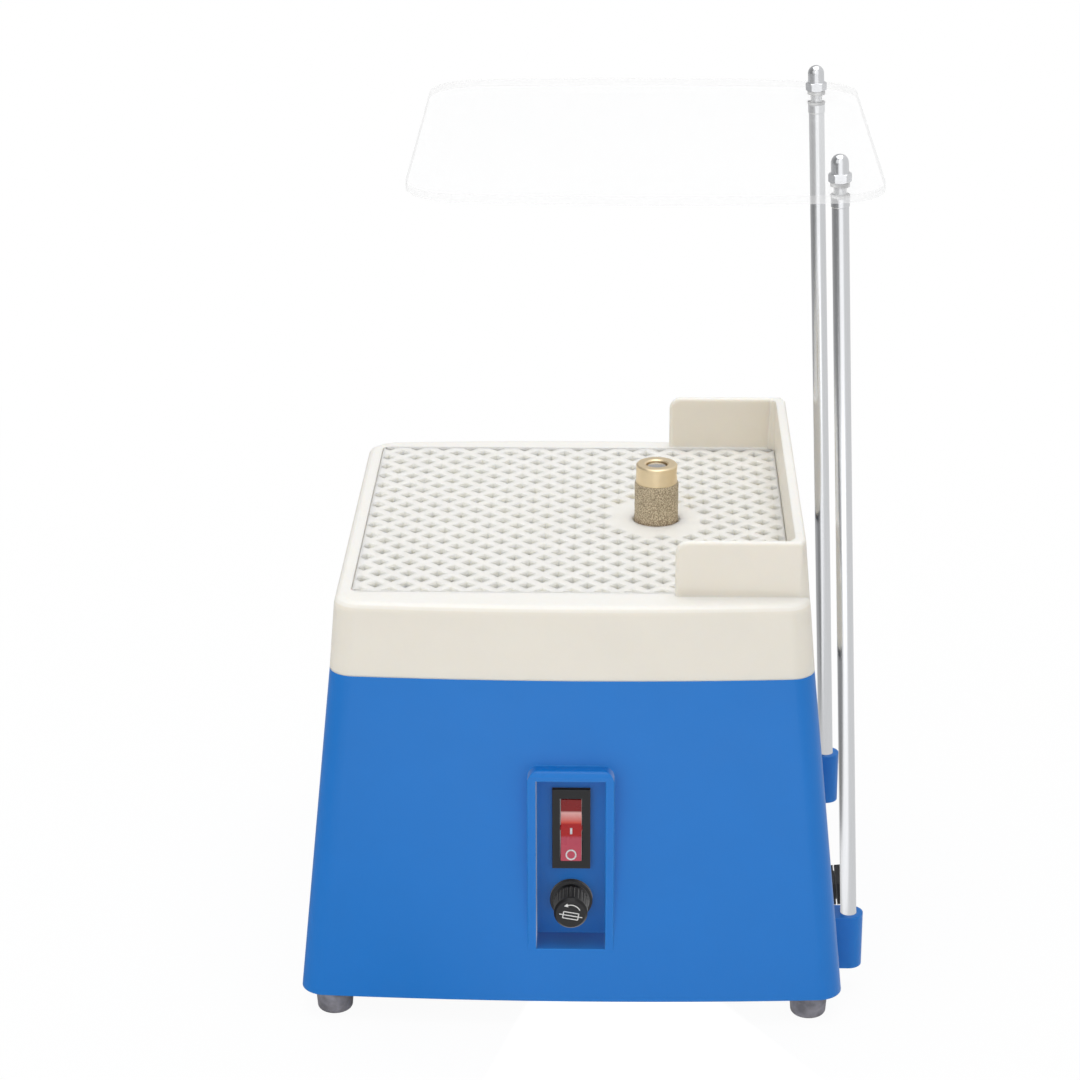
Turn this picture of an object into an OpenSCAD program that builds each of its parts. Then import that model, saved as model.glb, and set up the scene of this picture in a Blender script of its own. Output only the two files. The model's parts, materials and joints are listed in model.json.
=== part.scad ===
// Bench glass grinder with a lift-off water tray, a lift-out work grid, a
// diamond bit on an upright motor shaft and a clear shield on two rods.
// Z = 0 is the bench. X is the width, Y the depth, and the front faces -Y.

/* [Housing] */
// Width of the housing across its bottom edge
body_w = 201.4; // [196:0.2:206]
// Depth of the housing across its bottom corners
body_d = 201.8; // [195:0.2:215]
// Height of the housing from its bottom edge to the tray's seam
body_h = 125; // [122:0.2:140]
// Inward slope of the front and the back, and of the tray's sides, in degrees
draft = 4.76; // [4:0.01:5.4]
// Inward slope of the housing's sides, in degrees
side_draft = 5.85; // [4.8:0.01:6]
// Radius of the upright corners
corner_r = 9.5; // [8:0.5:13]
// Outward bow of the front and back faces at their middle
face_bow = 2.8; // [1.5:0.1:4]
// Thickness of the housing's walls
wall = 3; // [2.6:0.1:3.4]
// Thickness of the deck that the motor hangs from
deck_t = 3; // [2.5:0.1:4]
// Depth of the deck below the tray's seam
deck_drop = 5; // [3.5:0.1:6]
// Thickness of the steel base plate
plate_t = 1.5; // [1:0.1:2]
// Depth of the base plate inside the housing's bottom edge
plate_inset = 0.6; // [0.4:0.1:1.5]

/* [Feet] */
// Height of the housing's bottom edge above the bench
foot_h = 10; // [8:0.5:12]
// Diameter of a foot
foot_d = 14.6; // [12:0.2:16]
// Distance of a foot's axis from the housing's side edge, at the bottom
foot_inset_x = 12.1; // [11.7:0.1:16]
// Distance of a foot's axis from the housing's front or back edge, at the bottom
foot_inset_y = 9.5; // [9.3:0.1:15]

/* [Front panel] */
// Width of the recess for the switch and the fuse
recess_w = 25.4; // [23:0.2:28]
// Height of the recess
recess_h = 68.2; // [66:0.2:72]
// Height of the recess's floor above the housing's bottom edge
recess_z = 21; // [19:0.5:23]
// Depth of the recess at its floor
recess_depth = 12.9; // [11:0.1:14]
// Width of the raised frame beside the recess
frame_side = 3; // [2.4:0.1:4]
// Thickness of the raised frame over the recess
frame_top = 3.5; // [3.2:0.1:5]
// Thickness of the panel at the back of the recess
panel_t = 2.5; // [2:0.1:3]
// Height of the switch's centre above the recess's floor
switch_up = 43.7; // [42:0.1:46]
// Height of the fuse holder's axis above the recess's floor
fuse_up = 14.5; // [13:0.1:16]
// Width of the switch's bezel
bezel_w = 14; // [13.6:0.1:15]
// Height of the switch's bezel
bezel_h = 32; // [30:0.1:33]
// Thickness of the switch's bezel
bezel_t = 2; // [1.6:0.1:2.5]
// Width of the rocker
rocker_w = 7.6; // [7:0.1:8.4]
// Swing of the rocker from one side to the other, in degrees
rocker_swing = 18; // [14:1:20]
// Diameter of the fuse holder's flange
fuse_flange_d = 15.7; // [15:0.1:17]
// Diameter of the fuse cap's end
fuse_cap_d = 12.4; // [12:0.1:13]
// Length of the fuse cap in front of the holder's flange
fuse_cap_l = 10.6; // [9:0.1:12]

/* [Water tray] */
// Height of the tray from its seam to the deck
tray_h = 27.4; // [27:0.2:34]
// Thickness of the tray's walls
tray_t = 2.6; // [2.2:0.1:3]
// Thickness of the tray's floor
tray_floor = 2.5; // [2:0.1:3]
// Radius of the rim's rounded outer edge
rim_r = 3; // [2:0.1:4]
// Width of the ledge that carries the grid
ledge_w = 3; // [2:0.1:4]
// Thickness of that ledge
ledge_t = 2.5; // [2:0.1:3]
// Inner radius of the tube around the shaft
tube_r = 10; // [9.9:0.1:11]
// Depth of the tube's mouth below the deck
tube_drop = 11.4; // [11.2:0.1:13]
// Height of the splash guard above the deck
guard_h = 21; // [18:0.5:26]
// Thickness of the splash guard's front and back walls
guard_t = 3; // [2.6:0.1:3.6]
// Where the splash guard's front and back walls begin, from the centre line
guard_x = 37; // [30:0.5:45]
// Radius of the splash guard's top corners
guard_r = 4.6; // [3:0.1:7]

/* [Work grid] */
// Width of the grid
grid_w = 159.4; // [156:0.2:160]
// Depth of the grid
grid_d = 156.2; // [150:0.2:157]
// How far the grid's centre lies behind the housing's
grid_back = 2; // [1:0.1:3]
// Thickness of the grid
grid_t = 3; // [2.5:0.1:4]
// Spacing of the holes in a row
hole_pitch = 11; // [10:0.1:13]
// Side of a diamond hole
hole_side = 4.4; // [3.6:0.1:5]
// Radius of the plain ring around the bit
ring_r = 17.5; // [15:0.5:20]
// Diameter of the hole that the bit stands in
bit_hole_d = 18.2; // [17.8:0.1:21]

/* [Spindle and bit] */
// Distance of the spindle to the right of the centre line
spindle_x = 31; // [28:0.5:33]
// Diameter of the spindle
spindle_d = 8; // [7.6:0.1:8.4]
// Height of the bit's top above the deck
bit_up = 22.3; // [20:0.1:26]
// Height of the bit's brass collar above its diamond sleeve
collar_h = 7.3; // [6.6:0.1:9]
// Diameter of the brass collar
collar_d = 15.7; // [15:0.1:16.4]
// Outer diameter of the diamond sleeve
sleeve_d = 17; // [16.6:0.1:18]
// Thickness of the diamond sleeve
sleeve_t = 1.2; // [0.8:0.1:1.6]
// Length of the diamond sleeve
sleeve_l = 21; // [18:0.5:22]
// Diameter of the bit's set screw
grub_d = 4; // [3:0.5:4]

/* [Motor] */
// Outer diameter of the motor's can
can_d = 62; // [60:0.5:66]
// Length of the motor's can
can_l = 76; // [75:0.5:80]
// Thickness of the can's wall
can_t = 2; // [1.6:0.1:2.4]
// Distance of each mounting screw from the spindle
mount_r = 38; // [37.5:0.5:40]
// Length of the bosses that the motor hangs from
boss_l = 8; // [6:0.5:9]
// Length of the armature's core
core_l = 30; // [26:0.5:31]
// Air gap between the armature and the magnets
air_gap = 0.6; // [0.5:0.1:1]
// Outer diameter of a ball bearing
bearing_d = 22; // [21:0.5:24]
// Width of a ball bearing
bearing_b = 7; // [6:0.5:8]

/* [Shield] */
// Width of the shield
shield_w = 166; // [150:1:180]
// Depth of the shield along its sides
shield_d = 177.6; // [170:0.2:196]
// Outward bow of the shield's front and back edges
shield_bow = 3; // [0:0.5:5]
// Thickness of the shield
shield_t = 3; // [2.5:0.1:4]
// Height of the shield's upper face above the deck
shield_up = 149.6; // [120:0.1:170]
// Distance of the shield's right edge beyond the rods
shield_over = 16; // [12:0.5:20]
// How far the shield's centre lies behind the centre line
shield_back = 4.6; // [0:0.1:9]
// Radius of the shield's corners
shield_r = 20; // [10:1:30]
// Diameter of a rod
rod_d = 6; // [5.6:0.1:6.6]
// Distance between the two rods
rod_span = 141; // [130:1:150]
// How far the middle between the rods lies in front of the centre line
rod_fore = 1; // [0:0.5:6]
// Inward lean of the rods, in degrees
rod_lean = 2.48; // [2:0.02:3]
// Distance of a rod's axis from the housing's wall at the socket's mouth
rod_out = 5.6; // [5:0.1:8.5]
// Depth that a rod stands in its socket
socket_depth = 17.4; // [15:0.2:21]
// Thickness of a socket's floor
socket_floor = 4; // [3:0.5:6]
// Wall of a socket around its rod
socket_wall = 2.2; // [1.8:0.1:3]

/* [Cord inlet] */
// How far the gland's centre lies in front of the centre line
gland_fore = 42; // [38:0.5:46]
// Height of the gland's centre above the housing's bottom edge
gland_up = 17; // [15.5:0.5:22]
// Diameter of the hole through the gland
gland_bore = 7.2; // [6:0.1:7.6]
// Thread diameter of the gland
gland_thread = 12; // [11.6:0.1:12.6]
// Size of the gland across its flats
gland_flats = 15; // [14.6:0.1:16]

/* [Hidden] */
$fn = 48;

big = 400;       // longer than any part, for cuts that run right through
sliver = 0.01;   // thickness of the slices that a hull joins
loose = 0.4;     // gap around parts that lift off by hand
seat = 0.05;     // radial gap of parts that are pushed or screwed together
run = 0.04;      // radial gap of a turning or sliding fit

// Heights, from the bench up
seam_z = foot_h + body_h;
rim_z = seam_z + tray_h;
deck_z = seam_z - deck_drop;
plate_z = foot_h + plate_inset;
floor_z = plate_z + plate_t;
guard_z = rim_z + guard_h;
slope = tan(draft);
side_slope = tan(side_draft);
seam_half_w = body_w/2 - body_h*side_slope;
function half_w(z) = z < seam_z ? seam_half_w + (seam_z - z)*side_slope
  : seam_half_w - (z - seam_z)*slope;
function half_d(z) = body_d/2 - (z - foot_h)*slope;

// The sockets stand out on the right, so the origin moves half of that way
socket_r = rod_d/2 + socket_wall;
socket_z = foot_h;
socket_top = socket_z + socket_floor + socket_depth;
rod_x = half_w(socket_top) + rod_out;
rod_foot_x = rod_x + socket_depth*tan(rod_lean);
socket_x = rod_x + 0.25;
origin_x = (socket_x + socket_r - body_w/2)/2;

// Front panel
recess_floor = foot_h + recess_z;
frame_y = -half_d(recess_floor) - face_bow;
panel_y = frame_y + recess_depth;
switch_z = recess_floor + switch_up;
fuse_z = recess_floor + fuse_up;
snap_gap = 0.2;
frame_corner_r = 4;
frame_edge_r = 2.6;

// Grid, its ledge and the bit
ledge_z = rim_z - grid_t;
grid_front = grid_back - grid_d/2;
grid_back_edge = grid_back + grid_d/2;
tube_top = rim_z - tube_drop;
tube_wall = 2.2;
bit_top = rim_z + bit_up;
sleeve_top = bit_top - collar_h;
sleeve_bottom = sleeve_top - sleeve_l;
bore_r = spindle_d/2 + seat;
shaft_below_top = 0.9;
spindle_top = bit_top - shaft_below_top;
flat_depth = 0.5;
slinger_z = tube_top + 0.5;
slinger_h = 3;
slinger_r = tube_r - 0.5;
shaft_collar_top = tube_top - 4;
shaft_collar_r = 7.5;
shaft_collar_bore = 5.6;
collar_seat = 1.2;    // depth of the collar's seat in the deck

// Motor, stacked downwards from the deck
grommet_lip = 2;
flange_t = 4;
flange_r = mount_r + 7;
boss_z = deck_z - deck_t - boss_l;
flange_z = boss_z - grommet_lip - flange_t;
can_z = flange_z - can_l;
tail_t = bearing_b + 1;
tail_z = can_z - tail_t;
vent_r = 21;
hub_drop = bearing_b - flange_t + 1;
upper_bearing_z = flange_z - hub_drop;
lower_bearing_z = can_z - bearing_b;
fan_t = 5;
coil_h = 5.5;
fan_z = upper_bearing_z - 2.5 - fan_t;
core_top = fan_z - 2 - coil_h;
core_z = core_top - core_l;
comm_l = 12;
comm_r = 12;
comm_z = core_z - coil_h - 3.5 - comm_l;
can_r = can_d/2 - can_t;
magnet_t = 3.4;
magnet_r = can_r - seat - magnet_t;
core_r = magnet_r - air_gap;
riser_h = 1.6;
brush_z = comm_z + (comm_l - riser_h)/2;
brush_w = 6;
brush_h = 7;
brush_l = 9;
grommet_r = 4;
screw_r = 2;

// Shield
shield_z = rim_z + shield_up;
washer_t = 0.8;       // under the shield
spacer_t = 1.4;       // above it
washer_r = 3.4;
collar_l = 3.6;
collar_r = 3.25;
stub_r = 2;
nut_flats = 7;
nut_h = 3.2;
nut_neck_h = 3.5;     // straight part of the nut's dome
nut_dome_r = 3.1;
stack_t = washer_t + shield_t + spacer_t;
rod_foot_z = socket_top - socket_depth;
rod_ys = [-rod_fore - rod_span/2, -rod_fore + rod_span/2];
function along_rod(z) = (z - rod_foot_z)/cos(rod_lean);
rod_at_shield_x = rod_foot_x - along_rod(shield_z - shield_t/2)*sin(rod_lean);
shield_x = rod_at_shield_x + shield_over - shield_w/2;
collar_s = along_rod(shield_z - shield_t - washer_t - collar_l);

// Cord inlet
gland_z = foot_h + gland_up;
gland_y = -gland_fore;
flange_h = 1.8;
gland_slit = 0.6;
gland_nut_h = 3.8;
gland_cone_h = 1.8;
gland_neck = 10;
gland_neck_top = flange_h + gland_slit + gland_nut_h - 0.6;
seal_r = gland_bore/2 + 0.8;

// Electrical parts on the base plate
board_w = 52;
board_d = 66;
board_x = -44;
board_y = 8;
board_t = 1.6;
standoff_h = 8;
board_z = floor_z + standoff_h;
block_x = 66;
block_y = -58;
block_hole = 10;      // from the terminal block's middle to each screw
board_hole_x = 22;    // from the board's middle to its screws
board_hole_y = 29;

// ---------------------------------------------------------------- helpers

module centred() translate([-origin_x, 0, 0]) children();

module at_spindle() translate([spindle_x, 0, 0]) children();

module tube(r_out, r_in, h) difference() {
  cylinder(r = r_out, h = h);
  translate([0, 0, -1]) cylinder(r = r_in, h = h + 2);
}

// A rectangle of half width hw and half depth hd with corners of radius r, whose
// front and back edges bow outwards
module bowed_outline(hw, hd, bow, r) {
  w = hw - r;
  d = hd - r;
  steps = 12;
  function edge(i) = [-w + 2*w*i/steps, -d - bow*(1 - pow(2*i/steps - 1, 2))];
  offset(r = r, $fn = 48)
    polygon(concat([for (i = [0:steps]) edge(i)], [for (i = [0:steps]) -edge(i)]));
}

// Outline of the body at height z, drawn inset from its outer faces
module outline(z, inset = 0)
  bowed_outline(half_w(z) - inset, half_d(z) - inset, face_bow, corner_r);

module slice(z, inset = 0) translate([0, 0, z]) linear_extrude(sliver) outline(z, inset);

module tapered(z0, z1, inset0, inset1) hull() {
  slice(z0, inset0);
  slice(z1 - sliver, inset1);
}

module rounded_box(size, r) linear_extrude(size[2]) {
  translate([r, 0]) square([size[0] - 2*r, size[1]]);
  translate([0, r]) square([size[0], size[1] - 2*r]);
  for (x = [r, size[0] - r], y = [r, size[1] - r]) translate([x, y]) circle(r);
}

// A round-ended screw: head below, shank up
module pan_screw(head_r, head_h, shank_r, length) {
  rotate_extrude() polygon([[0, 0], [head_r*0.7, 0], [head_r, head_h*0.5], [head_r, head_h],
    [shank_r, head_h], [shank_r, head_h + length - 0.5], [shank_r - 0.5, head_h + length],
    [0, head_h + length]]);
}

module crossed_slot(head_r) translate([0, 0, -1]) for (a = [0, 90])
  rotate(a) translate([-head_r*0.55, -0.4, 0]) cube([head_r*1.1, 0.8, 1.8]);

module hex(flats, h) cylinder(d = flats/cos(30), h = h, $fn = 6);

foot_x = body_w/2 - foot_inset_x;
foot_y = body_d/2 - foot_inset_y;

module at_feet() for (x = [-foot_x, foot_x], y = [-foot_y, foot_y]) translate([x, y, 0]) children();

// ---------------------------------------------------------------- housing

base_screw_xs = [-66, 66];
base_screw_y = half_d(floor_z) - wall - 5.5;
base_boss_r = 4;
base_boss_h = 24;
base_screw_l = 11;

module base_bosses() for (x = base_screw_xs, side = [-1, 1]) {
  translate([x, side*base_screw_y, floor_z]) cylinder(r = base_boss_r, h = base_boss_h);
  translate([x - 2, side > 0 ? base_screw_y : -half_d(floor_z) + 1, floor_z])
    cube([4, half_d(floor_z) - base_screw_y - 1, base_boss_h]);
}

module motor_bosses() at_spindle() for (a = [45:90:315]) rotate(a)
  translate([mount_r, 0, boss_z]) cylinder(r = 5, h = boss_l + 1);

// Raised frame: upright front face, rounded top corners and a rounded top edge
module panel_frame() {
  half = recess_w/2 + frame_side;
  low = recess_floor - panel_t;
  high = recess_floor + recess_h + frame_top;
  back = panel_y + panel_t;
  intersection() {
    translate([0, back, 0]) rotate([90, 0, 0]) linear_extrude(back - frame_y) {
      translate([-half, low]) square([2*half, high - low - frame_corner_r]);
      translate([-half + frame_corner_r, low]) square([2*(half - frame_corner_r), high - low]);
      for (side = [-1, 1]) translate([side*(half - frame_corner_r), high - frame_corner_r])
        circle(frame_corner_r);
    }
    translate([-half - 1, 0, 0]) rotate([90, 0, 90]) linear_extrude(2*half + 2) {
      translate([frame_y, low - 1]) square([back - frame_y, high - low + 1 - frame_edge_r]);
      translate([frame_y + frame_edge_r, low - 1])
        square([back - frame_y - frame_edge_r, high - low + 1]);
      translate([frame_y + frame_edge_r, high - frame_edge_r]) circle(frame_edge_r);
    }
  }
}

module panel_cuts() {
  translate([-recess_w/2, frame_y - 20, recess_floor])
    cube([recess_w, panel_y - frame_y + 20, recess_h]);
  translate([-(bezel_w - 1)/2 - snap_gap, panel_y - 1, switch_z - (bezel_h - 3)/2 - snap_gap])
    cube([bezel_w - 1 + 2*snap_gap, panel_t + 2, bezel_h - 3 + 2*snap_gap]);
  translate([0, panel_y - 1, fuse_z]) rotate([-90, 0, 0]) cylinder(r = 6 + snap_gap, h = panel_t + 2);
}

// Two round sockets on webs that meet the sloping wall
module sockets() for (y = rod_ys) {
  h = socket_top - socket_z;
  translate([socket_x, y, socket_z]) cylinder(r = socket_r, h = h);
  translate([0, y + socket_r, 0]) rotate([90, 0, 0]) linear_extrude(2*socket_r)
    polygon([[half_w(socket_z) - 1, socket_z], [socket_x, socket_z],
      [socket_x, socket_top], [half_w(socket_top) - 1, socket_top]]);
}

module along_rods() for (y = rod_ys) translate([rod_foot_x, y, rod_foot_z])
  rotate([0, -rod_lean, 0]) children();

module on_right_wall() translate([half_w(gland_z), gland_y, gland_z])
  rotate([0, 90 - side_draft, 0]) children();

module housing() centred() color("royalblue") difference() {
  union() {
    difference() {
      tapered(foot_h, seam_z, 0, 0);
      tapered(foot_h - 1, deck_z - deck_t, wall, wall);
      translate([0, 0, deck_z]) linear_extrude(deck_drop + 1) outline(seam_z, wall);
    }
    panel_frame();
    sockets();
    base_bosses();
    motor_bosses();
  }
  panel_cuts();
  along_rods() cylinder(r = rod_d/2 + run, h = socket_depth*2);
  on_right_wall() translate([0, 0, -3*wall]) cylinder(d = gland_thread + 2*seat, h = 6*wall);
  at_spindle() {
    translate([0, 0, boss_z]) cylinder(r = shaft_collar_bore, h = big);
    translate([0, 0, deck_z - collar_seat]) cylinder(r = shaft_collar_r, h = big);
    for (a = [45:90:315]) rotate(a) translate([mount_r, 0, boss_z - 1])
      cylinder(r = screw_r + seat, h = boss_l + deck_t);
  }
  for (x = base_screw_xs, side = [-1, 1]) translate([x, side*base_screw_y, floor_z - 1])
    cylinder(r = 1.5 + seat, h = 14);
}

// Stands in the deck and keeps water in the tray's tube away from the motor
module shaft_collar() centred() color("ivory") at_spindle()
  translate([0, 0, deck_z - collar_seat])
    tube(shaft_collar_r, shaft_collar_bore, shaft_collar_top - deck_z + collar_seat);

module base_plate() centred() color("dimgray") difference() {
  translate([0, 0, plate_z]) linear_extrude(plate_t) outline(floor_z, wall + loose);
  for (x = base_screw_xs, side = [-1, 1]) translate([x, side*base_screw_y, 0])
    cylinder(r = 1.8, h = big);
  at_feet() cylinder(r = 2.2, h = big);
  for (i = [-3:3]) translate([spindle_x - 22, i*9 - 1.5, 0]) cube([44, 3, big]);
  for (p = board_holes) translate([p[0], p[1], 0]) cylinder(r = 1.6, h = big);
  for (y = [-block_hole, block_hole]) translate([block_x, block_y + y, 0]) cylinder(r = 1.6, h = big);
}

module base_screws() centred() color("silver") for (x = base_screw_xs, side = [-1, 1])
  translate([x, side*base_screw_y, plate_z - 2]) difference() {
    pan_screw(3, 2, 1.5, base_screw_l);
    crossed_slot(3);
  }

// Feet: rubber bumpers with a pocket for the screw head
foot_top = plate_z;
foot_neck_r = 5;
foot_taper = 0.7;
foot_edge_r = 1.6;
foot_pocket_r = 3.8;
foot_pocket_h = 3.5;

module feet() centred() color("#222222") at_feet() difference() {
  rotate_extrude() {
    polygon([[0, foot_edge_r], [foot_d/2 - foot_taper, foot_edge_r], [foot_d/2, foot_h],
      [foot_neck_r, foot_h], [foot_neck_r, foot_top], [0, foot_top]]);
    square([foot_d/2 - foot_taper - foot_edge_r, foot_edge_r]);
    translate([foot_d/2 - foot_taper - foot_edge_r, foot_edge_r]) intersection() {
      circle(foot_edge_r);
      translate([0, -foot_edge_r]) square(foot_edge_r);
    }
  }
  translate([0, 0, -1]) cylinder(r = foot_pocket_r, h = foot_pocket_h + 1);
  cylinder(r = 2 + seat, h = big);
}

module foot_screws() centred() color("silver") at_feet()
  translate([0, 0, foot_pocket_h - 2.2]) difference() {
    pan_screw(3.5, 2.2, 2, foot_top - foot_pocket_h + plate_t + 4);
    crossed_slot(3.5);
  }

module foot_nuts() centred() color("silver") at_feet() translate([0, 0, floor_z]) difference() {
  hex(7, 3.2);
  translate([0, 0, -1]) cylinder(r = 2 + seat, h = 6);
}

// ------------------------------------------------------------- water tray

guard_inner_y = [grid_front - loose, grid_back_edge + 1.8];
guard_inner_x = grid_w/2 + 0.8;
guard_bottom = rim_z - rim_r - 1;
edge_r = guard_t/2;

// One free-standing end wall of the guard, with a bullnose edge
module guard_wall(y) hull() {
  for (a = [90:22.5:180])
    translate([guard_x + guard_r + (guard_r - edge_r)*cos(a), y,
      guard_z - guard_r + (guard_r - edge_r)*sin(a)]) sphere(edge_r, $fn = 16);
  translate([guard_x + edge_r, y, guard_bottom]) cylinder(r = edge_r, h = 1, $fn = 16);
  translate([guard_inner_x + 1, y, guard_z - edge_r]) sphere(edge_r, $fn = 16);
  translate([guard_inner_x + 1, y, guard_bottom]) cylinder(r = edge_r, h = 1, $fn = 16);
}

// The side wall follows the slope of the tray's outer face
module guard_side() {
  y0 = guard_inner_y[0] - guard_t;
  y1 = guard_inner_y[1] + guard_t;
  top_x = half_w(guard_z);
  corner = 4.5;
  hull() {
    for (side = [0, 1]) {
      y = side == 0 ? y0 + corner : y1 - corner;
      for (a = [0:22.5:90])
        translate([top_x - corner + (corner - edge_r)*cos(a),
          y + (side == 0 ? -1 : 1)*(corner - edge_r)*sin(a), guard_z - edge_r])
          sphere(edge_r, $fn = 16);
      translate([half_w(guard_bottom) - corner, y, guard_bottom])
        cylinder(r = corner, h = sliver, $fn = 32);
      translate([guard_inner_x + edge_r, side == 0 ? y0 + guard_t : y1 - guard_t,
        guard_z - edge_r]) sphere(edge_r, $fn = 16);
      translate([guard_inner_x, side == 0 ? y0 + guard_t : y1 - guard_t - 1, guard_bottom])
        cube([1, 1, 1]);
    }
  }
}

module tray_form() hull() {
  slice(seam_z);
  slice(rim_z - rim_r);
  for (a = [22.5:22.5:90])
    slice(rim_z - rim_r + rim_r*sin(a) - sliver, rim_r*(1 - cos(a)));
}

module grid_outline(gap) translate([-grid_w/2 - gap, grid_front - gap])
  rounded_square(grid_w + 2*gap, grid_d + 2*gap, 2.5 + gap);

module rounded_square(w, d, r) {
  translate([r, 0]) square([w - 2*r, d]);
  translate([0, r]) square([w, d - 2*r]);
  for (x = [r, w - r], y = [r, d - r]) translate([x, y]) circle(r);
}

grid_gap = 0.25;
tray_floor_z = deck_z + 0.3;
basin_z = tray_floor_z + tray_floor;
basin_inset = wall + loose + tray_t;
sponge_w = 30;
sponge_d = 16;
sponge_y = tube_r + tube_wall + 1;
sponge_clip = 1.6;
sponge_nose_w = 18;

module water_tray() centred() color("ivory") difference() {
  union() {
    tray_form();
    translate([0, 0, tray_floor_z]) linear_extrude(deck_drop) outline(seam_z, wall + loose);
    guard_wall(guard_inner_y[0] - edge_r);
    guard_wall(guard_inner_y[1] + edge_r);
    guard_side();
  }
  difference() {
    tapered(basin_z, ledge_z - ledge_t, basin_inset, tray_t + 1.9);
    at_spindle() cylinder(r = tube_r + tube_wall, h = tube_top);
    sponge_pocket();
  }
  translate([-grid_w/2 + ledge_w, grid_front + ledge_w, ledge_z - ledge_t - 1])
    cube([grid_w - 2*ledge_w, grid_d - 2*ledge_w, ledge_t + 2]);
  translate([0, 0, ledge_z]) linear_extrude(guard_h + 20) grid_outline(grid_gap);
  at_spindle() cylinder(r = tube_r, h = big);
}

// Walls that stand on the tray's floor and hold the sponge behind the bit
module sponge_pocket() translate([spindle_x - sponge_w/2 - sponge_clip - 0.3, sponge_y, 0])
  difference() {
    cube([sponge_w + 2*sponge_clip + 0.6, sponge_d + sponge_clip + 0.3, tube_top - 4]);
    translate([sponge_clip, -1, -1]) cube([sponge_w + 0.6, sponge_d + 1.3, big]);
  }

// The sponge wraps the back of the diamond sleeve just below the grid
module sponge() centred() color("khaki") {
  nose_z = slinger_z + slinger_h + 1;
  difference() {
    union() {
      translate([spindle_x - sponge_w/2, sponge_y, basin_z])
        cube([sponge_w, sponge_d, ledge_z - 0.3 - basin_z]);
      translate([spindle_x - sponge_nose_w/2, 0, nose_z])
        cube([sponge_nose_w, sponge_y + 1, ledge_z - 0.3 - nose_z]);
    }
    at_spindle() cylinder(r = sleeve_d/2 + 0.3, h = big);
  }
}

module grid_holes() intersection() {
  translate([-grid_w/2 + 0.8, grid_front + 0.8]) square([grid_w - 1.6, grid_d - 1.6]);
  half = hole_pitch/2;
  union() for (i = [-24:24], j = [-18:18])
    if ((i + j) % 2 == 0 && norm([i*half - spindle_x, grid_back + j*half]) > ring_r)
      translate([i*half, grid_back + j*half]) rotate(45) square(hole_side, center = true);
}

module work_grid() centred() color("white") translate([0, 0, ledge_z])
  linear_extrude(grid_t) difference() {
    grid_outline(0);
    difference() {
      grid_holes();
      translate([spindle_x, 0]) circle(ring_r);
    }
    translate([spindle_x, 0]) circle(d = bit_hole_d);
  }

// -------------------------------------------------------- spindle and bit

module spindle() centred() color("silver") at_spindle() difference() {
  z0 = lower_bearing_z + 0.3;
  translate([0, 0, z0]) rotate_extrude() polygon([[0, 0], [spindle_d/2 - 0.4, 0],
    [spindle_d/2, 0.4], [spindle_d/2, spindle_top - z0 - 0.5],
    [spindle_d/2 - 0.5, spindle_top - z0], [0, spindle_top - z0]]);
  translate([spindle_d/2 - flat_depth, -spindle_d, sleeve_top - 3])
    cube([spindle_d, 2*spindle_d, big]);
}

module slinger() centred() color("#333333") at_spindle() translate([0, 0, slinger_z])
  rotate_extrude() polygon([[spindle_d/2 + seat, 0], [spindle_d/2 + 1.6, 0], [slinger_r - 1.2, 0.4],
    [slinger_r, 0], [slinger_r, 0.8], [slinger_r - 1, 1.5], [spindle_d/2 + 2, slinger_h],
    [spindle_d/2 + seat, slinger_h]]);

module shaft_seal() centred() color("#333333") at_spindle()
  translate([0, 0, shaft_collar_top - 4]) tube(shaft_collar_bore - seat, spindle_d/2 + run, 3.6);

module bit_core() centred() color("goldenrod") at_spindle() difference() {
  translate([0, 0, sleeve_bottom]) rotate_extrude() {
    polygon([[0, 0], [sleeve_d/2 - sleeve_t, 0], [sleeve_d/2 - sleeve_t, sleeve_l],
      [collar_d/2, sleeve_l], [collar_d/2, sleeve_l + collar_h - 0.5],
      [collar_d/2 - 0.5, sleeve_l + collar_h], [0, sleeve_l + collar_h]]);
  }
  translate([0, 0, sleeve_bottom - 1]) cylinder(r = bore_r, h = sleeve_l + collar_h + 2);
  translate([0, 0, bit_top - 0.5]) cylinder(r1 = bore_r, r2 = bore_r + 0.6, h = 0.6);
  translate([0, 0, sleeve_top + collar_h/2]) rotate([0, 90, 0])
    cylinder(r = grub_d/2 + 0.03, h = collar_d);
}

module diamond_sleeve() centred() color("#a89c80") at_spindle()
  translate([0, 0, sleeve_bottom]) rotate_extrude()
    translate([sleeve_d/2 - sleeve_t, 0]) polygon([[0, 0], [sleeve_t, 0],
      [sleeve_t, sleeve_l - 0.3], [sleeve_t - 0.3, sleeve_l], [0, sleeve_l]]);

module bit_set_screw() centred() color("#444444") at_spindle()
  translate([spindle_d/2 - flat_depth + seat, 0, sleeve_top + collar_h/2])
  rotate([0, 90, 0]) difference() {
    cylinder(r = grub_d/2, h = collar_d/2 - spindle_d/2 + flat_depth - 0.5);
    translate([0, 0, collar_d/2 - spindle_d/2 + flat_depth - 2]) hex(grub_d/2, 4);
  }

// ------------------------------------------------------------------ motor

module at_motor_mounts() at_spindle() for (a = [45:90:315]) rotate(a)
  translate([mount_r, 0, 0]) children();

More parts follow.
